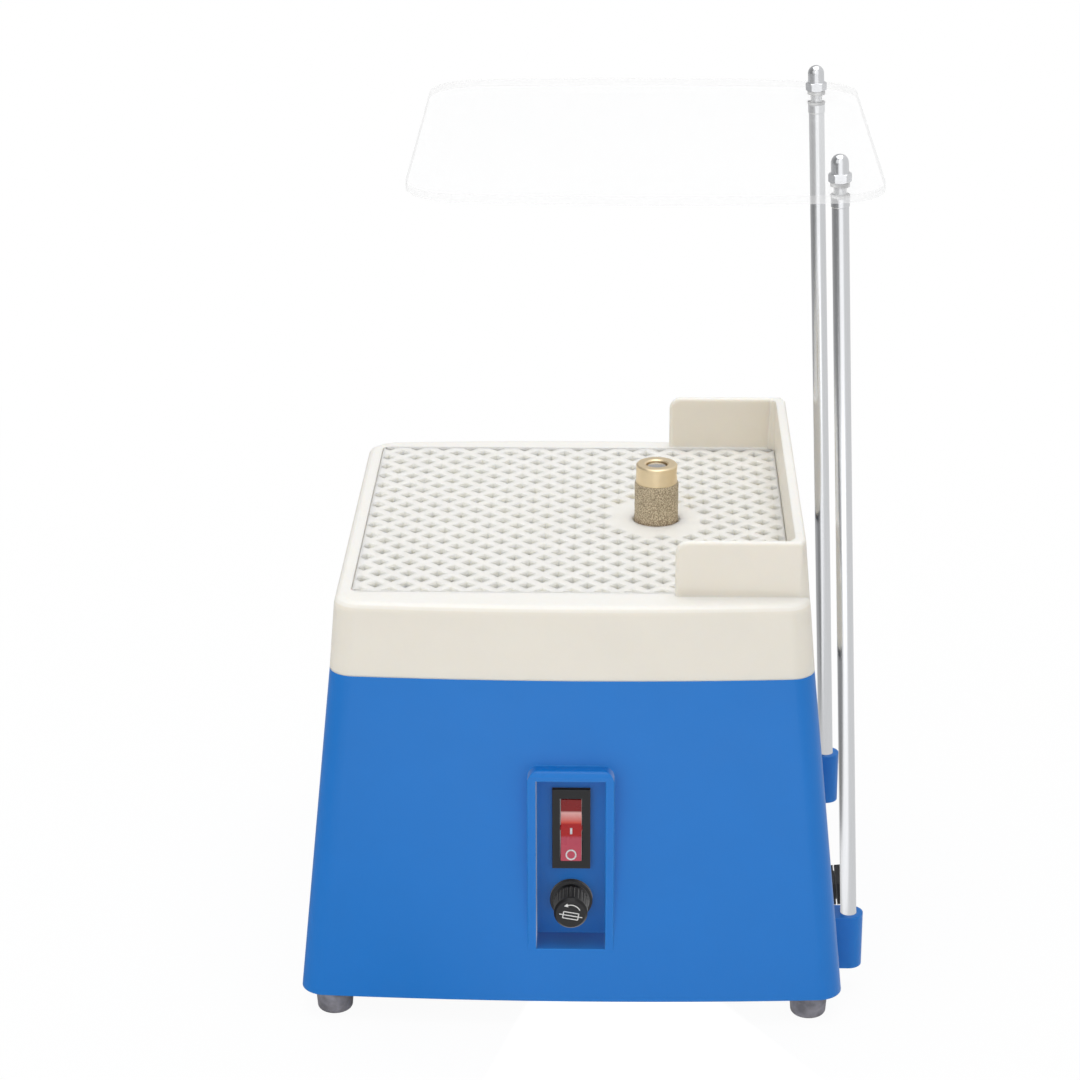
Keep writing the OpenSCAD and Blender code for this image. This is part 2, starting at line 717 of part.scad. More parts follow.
module motor_flange() centred() color("lightsteelblue") at_spindle() difference() {
  union() {
    translate([0, 0, flange_z]) cylinder(r = can_d/2 + 2, h = flange_t);
    for (a = [45:90:315]) rotate(a) translate([mount_r, 0, flange_z]) cylinder(r = 7, h = flange_t);
    for (a = [45:90:315]) rotate(a) translate([20, -7, flange_z]) cube([mount_r - 20, 14, flange_t]);
    translate([0, 0, upper_bearing_z]) cylinder(r = bearing_d/2 + 3, h = hub_drop + 1);
  }
  translate([0, 0, upper_bearing_z - 1]) cylinder(d = bearing_d + 2*seat, h = bearing_b + 1);
  cylinder(r = spindle_d/2 + 1, h = big);
  for (a = [45:90:315]) rotate(a) translate([mount_r, 0, 0]) cylinder(r = grommet_r + seat, h = big);
  for (a = [0:60:300]) rotate(a) translate([20.5, 0, 0]) cylinder(r = 3, h = big);
}

module motor_can() centred() color("slategray") at_spindle() difference() {
  translate([0, 0, can_z]) tube(can_d/2, can_r, can_l);
  for (a = [0:90:270]) rotate(a + 20) {
    translate([can_r - 2, -7, fan_z - 1]) cube([can_t + 4, 14, 5]);
    translate([can_r - 2, -7, can_z + 8]) cube([can_t + 4, 14, 5]);
  }
}

module motor_tail_cap() centred() color("silver") at_spindle() difference() {
  union() {
    translate([0, 0, can_z - 3]) cylinder(r = can_d/2, h = 3);
    translate([0, 0, can_z]) tube(can_r - seat, can_r - 3, 2);
    translate([0, 0, tail_z]) cylinder(r = bearing_d/2 + 3, h = tail_t);
  }
  translate([0, 0, lower_bearing_z]) cylinder(d = bearing_d + 2*seat, h = bearing_b + 1);
  for (a = [0:60:300]) rotate(a) translate([vent_r, 0, 0]) cylinder(r = 3.5, h = can_z + 1);
}

module field_magnets() centred() color("#3a3a3f") at_spindle()
  translate([0, 0, core_z - 2]) difference() {
    tube(magnet_r + magnet_t, magnet_r, core_l + 4);
    for (a = [0, 90]) rotate(a + 45) translate([-big/2, a == 0 ? -6 : big/2, -1])
      cube([big, 12, core_l + 6]);
  }

module core_slots(r) for (a = [0:30:330]) rotate(a) translate([core_r - 5.2, 0, 0]) cylinder(r = r, h = big);

module armature_core() centred() color("gray") at_spindle() difference() {
  translate([0, 0, core_z]) tube(core_r, spindle_d/2 + seat, core_l);
  core_slots(2.7);
  for (a = [0:30:330]) rotate(a) translate([core_r - 4, -0.8, 0]) cube([10, 1.6, big]);
}

module coil_ring() rotate_extrude() {
  translate([9, 0]) square([core_r - 12, coil_h]);
  translate([core_r - 3.5, coil_h/2]) circle(coil_h/2);
}

module armature_windings() centred() color("chocolate") at_spindle() {
  translate([0, 0, core_top]) coil_ring();
  translate([0, 0, core_z - coil_h]) coil_ring();
  for (a = [0:30:330]) rotate(a) translate([core_r - 5.2, 0, core_z - 1])
    cylinder(r = 2.5, h = core_l + 2);
}

module commutator() centred() color("peru") at_spindle() difference() {
  union() {
    translate([0, 0, comm_z]) cylinder(r = comm_r, h = comm_l);
    translate([0, 0, comm_z + comm_l - riser_h]) cylinder(r = comm_r + 2, h = riser_h);
  }
  cylinder(r = spindle_d/2 + seat, h = big);
  for (a = [0:30:330]) rotate(a) translate([comm_r - 0.8, -0.25, comm_z - 1])
    cube([4, 0.5, comm_l + 2]);
}

module cooling_fan() centred() color("#2b2b2b") at_spindle() translate([0, 0, fan_z]) difference() {
  union() {
    cylinder(r = 7, h = fan_t);
    cylinder(r = core_r, h = 1.2);
    for (a = [0:40:320]) rotate(a) translate([5, -0.6, 0]) cube([core_r - 6, 1.2, fan_t]);
  }
  translate([0, 0, -1]) cylinder(r = spindle_d/2 + seat, h = fan_t + 2);
}

// A shielded ball bearing with a shallow groove between its rings
module bearing(z) at_spindle() translate([0, 0, z]) difference() {
  tube(bearing_d/2, spindle_d/2 + run, bearing_b);
  for (h = [-1, bearing_b - 0.4]) translate([0, 0, h]) tube(bearing_d/2 - 2, spindle_d/2 + 2, 1.4);
}

module upper_bearing() centred() color("silver") bearing(upper_bearing_z);

module lower_bearing() centred() color("silver") bearing(lower_bearing_z);

ring_z = can_z + 2;
ring_t = 2.5;
box_wall = 0.8;
box_l = can_r - 2 - comm_r - 1.5;

module brush_ring() centred() color("sienna") at_spindle() difference() {
  union() {
    translate([0, 0, ring_z]) tube(can_r - seat, comm_r + 3, ring_t);
    for (a = [0, 180]) rotate(a)
      translate([comm_r + 1.5, -brush_w/2 - box_wall - 0.1, ring_z + ring_t - 0.5])
      cube([box_l, brush_w + 2*box_wall + 0.2, brush_z + brush_h/2 + box_wall + 0.1 - ring_z - ring_t + 0.5]);
  }
  for (a = [0, 180]) rotate(a) translate([comm_r, -brush_w/2 - 0.1, brush_z - brush_h/2 - 0.1])
    cube([box_l - box_wall + 1.5, brush_w + 0.2, brush_h + 0.2]);
}

module carbon_brushes() centred() color("#303030") at_spindle() for (a = [0, 180]) rotate(a)
  difference() {
    translate([comm_r - 1, -brush_w/2, brush_z - brush_h/2]) cube([brush_l + 1, brush_w, brush_h]);
    cylinder(r = comm_r + seat, h = big);
  }

// Bent leaf springs that push the brushes inwards
module brush_springs() centred() color("goldenrod") at_spindle() for (a = [0, 180]) rotate(a)
  translate([comm_r + brush_l + 0.1, 0, brush_z - brush_h/2 + 1.5]) linear_extrude(brush_h - 3) {
    free = box_l + 1.5 - box_wall - brush_l - 0.2;
    for (side = [-1, 1]) polygon([[0, side*0.3], [0, -side*0.1], [free, side*2.2], [free, side*2.8]]);
  }

module motor_grommets() centred() color("#333333") at_motor_mounts() difference() {
  union() {
    translate([0, 0, flange_z - grommet_lip]) cylinder(r = 6, h = grommet_lip);
    translate([0, 0, flange_z - 0.1]) cylinder(r = grommet_r, h = flange_t + 0.2);
    translate([0, 0, flange_z + flange_t]) cylinder(r = 6, h = grommet_lip);
  }
  cylinder(r = screw_r + seat, h = big);
}

module motor_screws() centred() color("silver") at_motor_mounts()
  translate([0, 0, flange_z - grommet_lip - 2.4]) difference() {
    pan_screw(4.4, 2.4, screw_r, 2*grommet_lip + flange_t + boss_l);
    crossed_slot(4.4);
  }

// --------------------------------------------------- switch and fuse

rocker_r = 12.2;
rocker_axis = 1.5;
rocker_gap = 0.35;
opening_h = 2*(rocker_r + 0.2);
switch_depth = 21;
pin_r = 1;            // the rocker's pivot pins
pin_l = 1.2;

module at_switch() translate([0, panel_y, switch_z]) children();

module switch_body() centred() color("#1d1d1f") at_switch() difference() {
  union() {
    translate([-bezel_w/2, -bezel_t, -bezel_h/2]) cube([bezel_w, bezel_t, bezel_h]);
    translate([-bezel_w/2 + 0.5, -0.5, -bezel_h/2 + 1.5])
      cube([bezel_w - 1, switch_depth + 0.5, bezel_h - 3]);
    for (side = [-1, 1]) translate([0, panel_t + 0.2, side*(bezel_h/2 - 1.5)])
      rotate([0, 90, 0]) linear_extrude(6, center = true)
        polygon([[0, 0], [-side*1.1, 0.2], [-side*0.1, 5], [side*0.5, 5]]);
  }
  translate([-rocker_w/2 - rocker_gap, -bezel_t - 1, -opening_h/2])
    cube([rocker_w + 2*rocker_gap, bezel_t + 1 + rocker_r + 2, opening_h]);
  at_rocker_pivot() cylinder(r = pin_r + 2*run, h = rocker_w + 2*pin_l + 0.4, center = true);
}

// Side view of the rocker about its pivot: two faces that meet in a valley,
// arcs at both ends and a stem. It rests with its upper end pressed in.
module rocker_profile() {
  end_angle = 17;
  function on_arc(a) = [-rocker_r*sin(a), rocker_r*cos(a)];
  arc = [for (a = [end_angle:-6:-25]) on_arc(a)];
  polygon(concat([[-rocker_axis - 0.7, 0]],
    [for (p = arc) p], [[3, 4], [7, 2]], [[7, -2], [3, -4]],
    [for (i = [len(arc) - 1:-1:0]) [arc[i][0], -arc[i][1]]]));
}

module at_rocker_pivot() translate([0, rocker_axis - bezel_t, 0]) rotate([0, 90, 0]) children();

module switch_rocker() centred() color("crimson") at_switch() {
  translate([0, rocker_axis - bezel_t, 0]) rotate([-rocker_swing/2, 0, 0])
    translate([-rocker_w/2, 0, 0]) rotate([90, 0, 90]) linear_extrude(rocker_w) rocker_profile();
  at_rocker_pivot() cylinder(r = pin_r, h = rocker_w + 2*pin_l, center = true);
}

module switch_terminals() centred() color("silver") at_switch()
  for (z = [-9, 0, 9]) translate([-3.1, switch_depth, z - 0.4]) cube([6.2, 8, 0.8]);

module at_fuse() translate([0, panel_y, fuse_z]) rotate([90, 0, 0]) children();

fuse_body_r = 6;
fuse_body_l = 30;
fuse_flange_t = 2;
fuse_well_r = 4;
carrier_r = 3.4;

// The fuse's own axis: +Z here points out of the panel, towards the user
module fuse_holder() centred() color("#1d1d1f") at_fuse() difference() {
  union() {
    cylinder(d = fuse_flange_d, h = fuse_flange_t);
    translate([0, 0, -fuse_body_l]) cylinder(r = fuse_body_r, h = fuse_body_l + 1);
  }
  translate([0, 0, -fuse_body_l + 2]) cylinder(r = fuse_well_r, h = fuse_body_l + 10);
}

module fuse_nut() centred() color("#1d1d1f") at_fuse() translate([0, 0, -panel_t - 3])
  difference() {
    hex(16, 3);
    translate([0, 0, -1]) cylinder(r = fuse_body_r + seat, h = 5);
  }

fuse_l = 20;
fuse_r = 2.6;
carrier_l = 7;
fuse_z0 = -fuse_body_l + 2 + 3;

module fuse_cap() centred() color("#26262a") at_fuse() difference() {
  union() {
    translate([0, 0, fuse_flange_t + 0.2]) rotate_extrude() polygon([[0, 0],
      [fuse_cap_d/2 + 0.6, 0], [fuse_cap_d/2 + 0.2, 1.5], [fuse_cap_d/2, fuse_cap_l - 1],
      [fuse_cap_d/2 - 0.8, fuse_cap_l], [0, fuse_cap_l]]);
    translate([0, 0, fuse_z0 + fuse_l - carrier_l])
      cylinder(r = carrier_r, h = fuse_flange_t + 1.2 - (fuse_z0 + fuse_l - carrier_l));
  }
  translate([0, 0, fuse_z0 + fuse_l - carrier_l - 1]) cylinder(r = fuse_r + 0.06, h = carrier_l + 1.1);
  for (a = [0:15:345]) rotate(a) translate([fuse_cap_d/2 + 0.35, 0, fuse_flange_t + 1.6])
    cylinder(r = 0.5, h = fuse_cap_l - 3.4, $fn = 16);
}

module fuse_glass() centred() color("lightcyan") at_fuse() translate([0, 0, fuse_z0 + 1])
  tube(fuse_r - 0.2, fuse_r - 0.7, fuse_l - 2);

module fuse_ends() centred() color("silver") at_fuse() translate([0, 0, fuse_z0]) {
  for (m = [0, 1]) translate([0, 0, m*fuse_l]) mirror([0, 0, m]) difference() {
    cylinder(r = fuse_r, h = 5);
    translate([0, 0, 1]) tube(fuse_r - 0.18, fuse_r - 0.72, 5);
    translate([0, 0, 2]) cylinder(r = fuse_r - 0.71, h = 5);
  }
  cylinder(r = 0.2, h = fuse_l, $fn = 16);
}

module fuse_terminals() centred() color("silver") at_fuse() {
  translate([0, 0, -fuse_body_l - 7]) translate([-2.4, -0.4, 0]) cube([4.8, 0.8, 7]);
  translate([0, 0, -fuse_body_l]) difference() {
    translate([-2.4, fuse_body_r, 6]) cube([4.8, 6, 0.8]);
    cylinder(r = fuse_body_r, h = 20);
  }
  translate([0, 0, -fuse_body_l + 2]) cylinder(r = fuse_well_r - seat, h = 2.7);
}

// ------------------------------------------------- parts on the base plate

board_holes = [for (x = [-1, 1], y = [-1, 1]) [board_x + x*board_hole_x, board_y + y*board_hole_y]];

module control_board() centred() color("seagreen") difference() {
  translate([board_x - board_w/2, board_y - board_d/2, board_z]) cube([board_w, board_d, board_t]);
  for (p = board_holes) translate(p) cylinder(r = 1.5 + seat, h = big);
}

module bridge_rectifier() centred() color("#1d1d1f")
  translate([board_x - 9, board_y - 20, board_z + board_t]) difference() {
    cube([18, 5, 16]);
    translate([9, -1, 11]) rotate([-90, 0, 0]) cylinder(r = 1.7, h = 8);
  }

capacitor_r = 8;
capacitor_h = 25;

module filter_capacitor() centred() color("darkslateblue")
  translate([board_x, board_y + capacitor_r, board_z + board_t]) rotate_extrude()
    polygon([[0, 0], [capacitor_r - 0.4, 0], [capacitor_r, 0.4], [capacitor_r, 1.6],
      [capacitor_r - 0.6, 2.2], [capacitor_r, 2.8], [capacitor_r, capacitor_h - 0.5],
      [capacitor_r - 0.5, capacitor_h], [capacitor_r - 1.5, capacitor_h - 0.4], [0, capacitor_h - 0.4]]);

module board_standoffs() centred() color("gold") for (p = board_holes)
  translate([p[0], p[1], floor_z]) difference() {
    hex(6, standoff_h);
    translate([0, 0, -1]) cylinder(r = 1.5 + seat, h = standoff_h + 2);
  }

module board_screws() centred() color("silver") for (p = board_holes)
  translate([p[0], p[1], plate_z - 1.8]) {
    difference() {
      pan_screw(2.8, 1.8, 1.5, plate_t + 3.4);
      crossed_slot(2.8);
    }
    translate([0, 0, 1.8 + plate_t + standoff_h + board_t + 1.8]) mirror([0, 0, 1]) difference() {
      pan_screw(2.8, 1.8, 1.5, board_t + 3.4);
      crossed_slot(2.8);
    }
  }

block_w = 16;
block_d = 30;
block_h = 14;

module terminal_block() centred() color("whitesmoke")
  translate([block_x - block_w/2, block_y - block_d/2, floor_z]) difference() {
    union() {
      cube([block_w, block_d, block_h - 4]);
      for (y = [0.5, 10.5, 20.5]) translate([1, y, 0]) cube([block_w - 2, 9, block_h]);
    }
    for (y = [5, 15, 25]) {
      translate([-1, y, 5]) rotate([0, 90, 0]) cylinder(r = 1.7, h = block_w + 2);
      for (x = [4, block_w - 4]) translate([x, y, 6]) cylinder(r = 1.6, h = block_h);
    }
    for (y = [5, 25]) translate([block_w/2, y, -1]) cylinder(r = 1.5 + seat, h = 3.4);
  }

module terminal_screws() centred() color("silver") {
  for (x = [4, block_w - 4], y = [5, 15, 25])
    translate([block_x - block_w/2 + x, block_y - block_d/2 + y, floor_z + 6.8]) cylinder(r = 1.5, h = 5);
  for (y = [-block_hole, block_hole]) translate([block_x, block_y + y, plate_z - 1.8]) difference() {
    pan_screw(2.8, 1.8, 1.5, plate_t + 2.2);
    crossed_slot(2.8);
  }
}

// Leads: a round tube swept along hand-chosen points, smoothed between them
function spline(p, i, t) = let (
    a = p[max(i - 1, 0)], b = p[i], c = p[i + 1], d = p[min(i + 2, len(p) - 1)])
  0.5*((2*b) + (c - a)*t + (2*a - 5*b + 4*c - d)*t*t + (3*b - a - 3*c + d)*t*t*t);
// Both ends of a route stay straight
function path(p, n) = concat([p[0]], [for (i = [1:len(p) - 3], k = [0:n - 1]) spline(p, i, k/n)],
  [p[len(p) - 2], p[len(p) - 1]]);
function unit(v) = v/norm(v);

module lead(points, r = 1) {
  sides = 8;
  route = path(points, 4);
  last = len(route) - 1;
  function heading(i) = unit(route[min(i + 1, last)] - route[max(i - 1, 0)]);
  // A fixed side direction keeps the rings from twisting
  function across(i) = unit(cross(heading(i), [0.31, 0.23, 0.92]));
  rings = [for (i = [0:last]) let (u = across(i), v = cross(heading(i), u))
    for (k = [0:sides - 1]) route[i] + r*(u*cos(360*k/sides) + v*sin(360*k/sides))];
  polyhedron(points = rings, faces = concat(
    [[for (k = [0:sides - 1]) k]],
    [for (i = [0:last - 1], k = [0:sides - 1])
      [i*sides + k, (i + 1)*sides + k, (i + 1)*sides + (k + 1)%sides, i*sides + (k + 1)%sides]],
    [[for (k = [sides - 1:-1:0]) last*sides + k]]), convexity = 6);
}

block_left = block_x - block_w/2;
terminal_y = panel_y + switch_depth + 8;

lead_gap = 0.2;
terminal_back = terminal_y + lead_gap;
fuse_back = panel_y + fuse_body_l + 7 + lead_gap;
fuse_tag_y = panel_y + fuse_body_l - 6.4;
fuse_tag_z = fuse_z + fuse_body_r + 6 + lead_gap;
board_top = board_z + board_t + lead_gap;

module mains_leads() centred() color("saddlebrown") {
  lead([[block_left + 1, block_y - 10, floor_z + 5], [block_left - 4, block_y - 10, floor_z + 5],
    [36, -64, 34], [18, -52, 56], [2, terminal_back + 7, switch_z - 9.5],
    [0, terminal_back + 4, switch_z - 9], [0, terminal_back, switch_z - 9]]);
  lead([[block_left + 1, block_y, floor_z + 5], [block_left - 4, block_y, floor_z + 5],
    [38, -54, 50], [20, -46, 74], [3, terminal_back + 8, switch_z + 9.5],
    [0, terminal_back + 4, switch_z + 9], [0, terminal_back, switch_z + 9]]);
  lead([[0, terminal_back, switch_z], [0, terminal_back + 4, switch_z], [-9, -44, 66],
    [-12, -38, 54], [-3, fuse_back + 7, fuse_z], [0, fuse_back + 4, fuse_z], [0, fuse_back, fuse_z]]);
  lead([[0, fuse_tag_y, fuse_tag_z], [0, fuse_tag_y, fuse_tag_z + 3], [-8, -56, 62],
    [-18, -48, 44], [-30, -32, 34], [board_x + 6, board_y - 25, board_top + 5],
    [board_x + 6, board_y - 25, board_top]]);
}

module motor_leads() centred() color("firebrick") for (side = [-1, 1])
  lead([[board_x + 18, board_y + side*9, board_top], [board_x + 18, board_y + side*9, board_top + 5],
    [board_x + 26, side*14, board_top + 9], [-4, side*16, can_z - 6],
    [spindle_x - 15, side*18, can_z - 11], [spindle_x - vent_r/2, side*vent_r*sin(60), can_z - 7],
    [spindle_x - vent_r/2, side*vent_r*sin(60), ring_z - lead_gap]]);

// ------------------------------------------------------------ cord inlet

module gland_body() centred() color("#202022") on_right_wall() difference() {
  union() {
    translate([0, 0, seat]) hex(gland_flats, flange_h);
    translate([0, 0, -gland_neck]) cylinder(d = gland_thread, h = gland_neck + 1);
    cylinder(d = gland_thread - 1, h = gland_neck_top);
  }
  translate([0, 0, -gland_neck - 1]) cylinder(d = gland_bore, h = 3*gland_neck);
  translate([0, 0, flange_h]) cylinder(r = seal_r, h = gland_neck);
}

module gland_nut() centred() color("#202022") on_right_wall()
  translate([0, 0, flange_h + gland_slit]) difference() {
    union() {
      hex(gland_flats, gland_nut_h);
      translate([0, 0, gland_nut_h]) rotate_extrude() polygon([[0, 0], [gland_flats/2, 0],
        [gland_flats/2 - 0.6, gland_cone_h/2], [gland_flats/2 - 2, gland_cone_h], [0, gland_cone_h]]);
    }
    translate([0, 0, -1]) cylinder(d = gland_thread - 1 + 2*seat, h = gland_nut_h + 0.5);
    cylinder(d = gland_bore + 0.6, h = 10);
  }

module gland_seal() centred() color("#3a3a3a") on_right_wall() translate([0, 0, flange_h])
  tube(seal_r - seat, gland_bore/2, gland_neck_top - flange_h);

module gland_locknut() centred() color("#202022") on_right_wall()
  translate([0, 0, -wall - 3.6]) difference() {
    hex(gland_flats + 1, 3.5);
    translate([0, 0, -1]) cylinder(d = gland_thread + 2*seat, h = 6);
  }

// ---------------------------------------------------------------- shield

stub_l = collar_l + stack_t + 5.6;

module shield_rods() centred() color("silver") along_rods() rotate_extrude()
  polygon([[0, 0], [rod_d/2 - 0.5, 0], [rod_d/2, 0.5], [rod_d/2, collar_s],
    [stub_r, collar_s], [stub_r, collar_s + stub_l - 0.5], [stub_r - 0.5, collar_s + stub_l],
    [0, collar_s + stub_l]]);

module rod_collars() centred() color("silver") along_rods() translate([0, 0, collar_s])
  rotate_extrude() polygon([[stub_r + seat, 0], [collar_r - 0.2, 0], [collar_r, 0.3],
    [collar_r, collar_l - 0.3], [collar_r - 0.2, collar_l], [stub_r + seat, collar_l]]);

// Soft washers: square to the rod on one side and level against the shield
module shield_washers() centred() color("whitesmoke") difference() {
  along_rods() translate([0, 0, collar_s + collar_l])
    tube(washer_r, stub_r + seat, stack_t);
  translate([-big/2, -big/2, shield_z - shield_t]) cube([big, big, shield_t]);
}

module shield() centred() color("lightcyan", 0.35) difference() {
  translate([shield_x, shield_back, shield_z - shield_t]) linear_extrude(shield_t)
    bowed_outline(shield_w/2, shield_d/2, shield_bow, shield_r);
  for (y = rod_ys) translate([rod_at_shield_x, y, 0])
    cylinder(r = stub_r + 0.35, h = big);
}

module cap_nuts() centred() color("silver") along_rods()
  translate([0, 0, collar_s + collar_l + stack_t]) difference() {
    union() {
      intersection() {
        hex(nut_flats, nut_h);
        rotate_extrude() polygon([[0, 0], [nut_flats/2, 0], [nut_flats/2 + 0.6, 0.35],
          [nut_flats/2 + 0.6, nut_h - 0.35], [nut_flats/2, nut_h], [0, nut_h]]);
      }
      cylinder(r = nut_dome_r, h = nut_h + nut_neck_h);
      translate([0, 0, nut_h + nut_neck_h]) intersection() {
        sphere(nut_dome_r);
        cylinder(r = nut_dome_r + 1, h = nut_dome_r + 1);
      }
    }
    translate([0, 0, -1]) cylinder(r = stub_r + seat, h = nut_h + nut_neck_h - 0.1);
  }

housing();
shaft_collar();
base_plate();
base_screws();
feet();
foot_screws();
foot_nuts();
water_tray();
sponge();
work_grid();
spindle();
slinger();
shaft_seal();
bit_core();
diamond_sleeve();
bit_set_screw();
motor_flange();
motor_can();
motor_tail_cap();
field_magnets();
armature_core();
armature_windings();
commutator();
cooling_fan();
upper_bearing();
lower_bearing();
brush_ring();
carbon_brushes();
brush_springs();
motor_grommets();
motor_screws();
switch_body();
switch_rocker();
switch_terminals();
fuse_holder();
fuse_nut();
fuse_cap();
fuse_glass();
fuse_ends();
fuse_terminals();
control_board();
bridge_rectifier();
filter_capacitor();
board_standoffs();
board_screws();
terminal_block();
terminal_screws();
mains_leads();
motor_leads();
gland_body();
gland_nut();
gland_seal();
gland_locknut();
shield_rods();
rod_collars();
shield_washers();
shield();
cap_nuts();
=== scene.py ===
"""Bench glass grinder: finishes, fine surface pieces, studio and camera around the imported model."""
import json
import math

import bmesh
import bpy
from mathutils import Matrix, Vector, noise
from mathutils.bvhtree import BVHTree


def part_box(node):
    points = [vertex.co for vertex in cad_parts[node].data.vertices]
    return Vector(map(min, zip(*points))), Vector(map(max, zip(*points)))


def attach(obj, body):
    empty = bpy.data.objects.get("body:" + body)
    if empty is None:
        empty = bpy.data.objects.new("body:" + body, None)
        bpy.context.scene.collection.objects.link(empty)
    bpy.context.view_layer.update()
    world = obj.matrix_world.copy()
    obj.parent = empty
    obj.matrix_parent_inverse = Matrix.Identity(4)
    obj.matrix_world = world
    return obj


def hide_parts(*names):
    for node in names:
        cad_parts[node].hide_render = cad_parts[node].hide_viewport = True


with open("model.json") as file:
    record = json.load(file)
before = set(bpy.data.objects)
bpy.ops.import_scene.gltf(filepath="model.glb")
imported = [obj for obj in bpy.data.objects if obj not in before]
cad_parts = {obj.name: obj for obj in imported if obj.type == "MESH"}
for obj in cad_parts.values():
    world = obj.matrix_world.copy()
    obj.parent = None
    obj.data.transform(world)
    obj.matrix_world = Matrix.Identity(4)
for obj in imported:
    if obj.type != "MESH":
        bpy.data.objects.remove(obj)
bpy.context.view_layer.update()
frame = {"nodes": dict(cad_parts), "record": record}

MM = 0.001

# ---------------------------------------------------------------- colours (display values, 0 to 1)

BLUE = (0.050, 0.450, 0.780)
# painted highlight on the housing's edges
BLUE_EDGE_HIGHLIGHT = (0.150, 0.560, 0.900)
CREAM = (0.905, 0.885, 0.840)
# painted highlight on the tray's faces that look up
CREAM_PAINTED_TOP_LIGHT = (0.930, 0.926, 0.912)
# painted highlight on the tray's edges
CREAM_EDGE_HIGHLIGHT = (0.965, 0.955, 0.930)
GRID_WHITE = (0.955, 0.940, 0.905)
# painted glow inside the grid's holes
GRID_PAINTED_GLOW = (1.000, 0.990, 0.945)
BLACK = (0.078, 0.076, 0.083)
RUBBER = (0.480, 0.472, 0.495)
STEEL = (0.780, 0.785, 0.790)
CHROME = (0.900, 0.905, 0.915)
BRASS = (0.960, 0.880, 0.735)
GRIT_DARK = (0.520, 0.460, 0.370)
GRIT_LIGHT = (0.920, 0.860, 0.740)
GRIT_COPPER = (0.560, 0.380, 0.270)
COPPER = (0.800, 0.450, 0.260)
# Rocker colours: the deep red is painted shade at the top of the rocker and also its random darker cloud, the
# pink is a painted sheen, the warm red and the glare make a painted highlight band, and the plain red is the
# rocker's own.
ROCKER_DEEP = (0.540, 0.020, 0.030)
ROCKER_RED = (0.720, 0.040, 0.050)
ROCKER_PINK_SHEEN = (0.760, 0.290, 0.360)
ROCKER_GLARE = (0.960, 0.720, 0.680)
ROCKER_WARM_GLARE = (0.880, 0.300, 0.230)
PRINT_WHITE = (0.990, 0.988, 0.985)


def linear(colour, alpha=1.0):
    """Display colour to the linear values that shader sockets hold."""
    return tuple(c / 12.92 if c < 0.04045 else ((c + 0.055) / 1.055) ** 2.4 for c in colour) + (alpha,)


def shade(colour, factor):
    return tuple(min(1.0, c * factor) for c in colour)


# ---------------------------------------------------------------- shader building

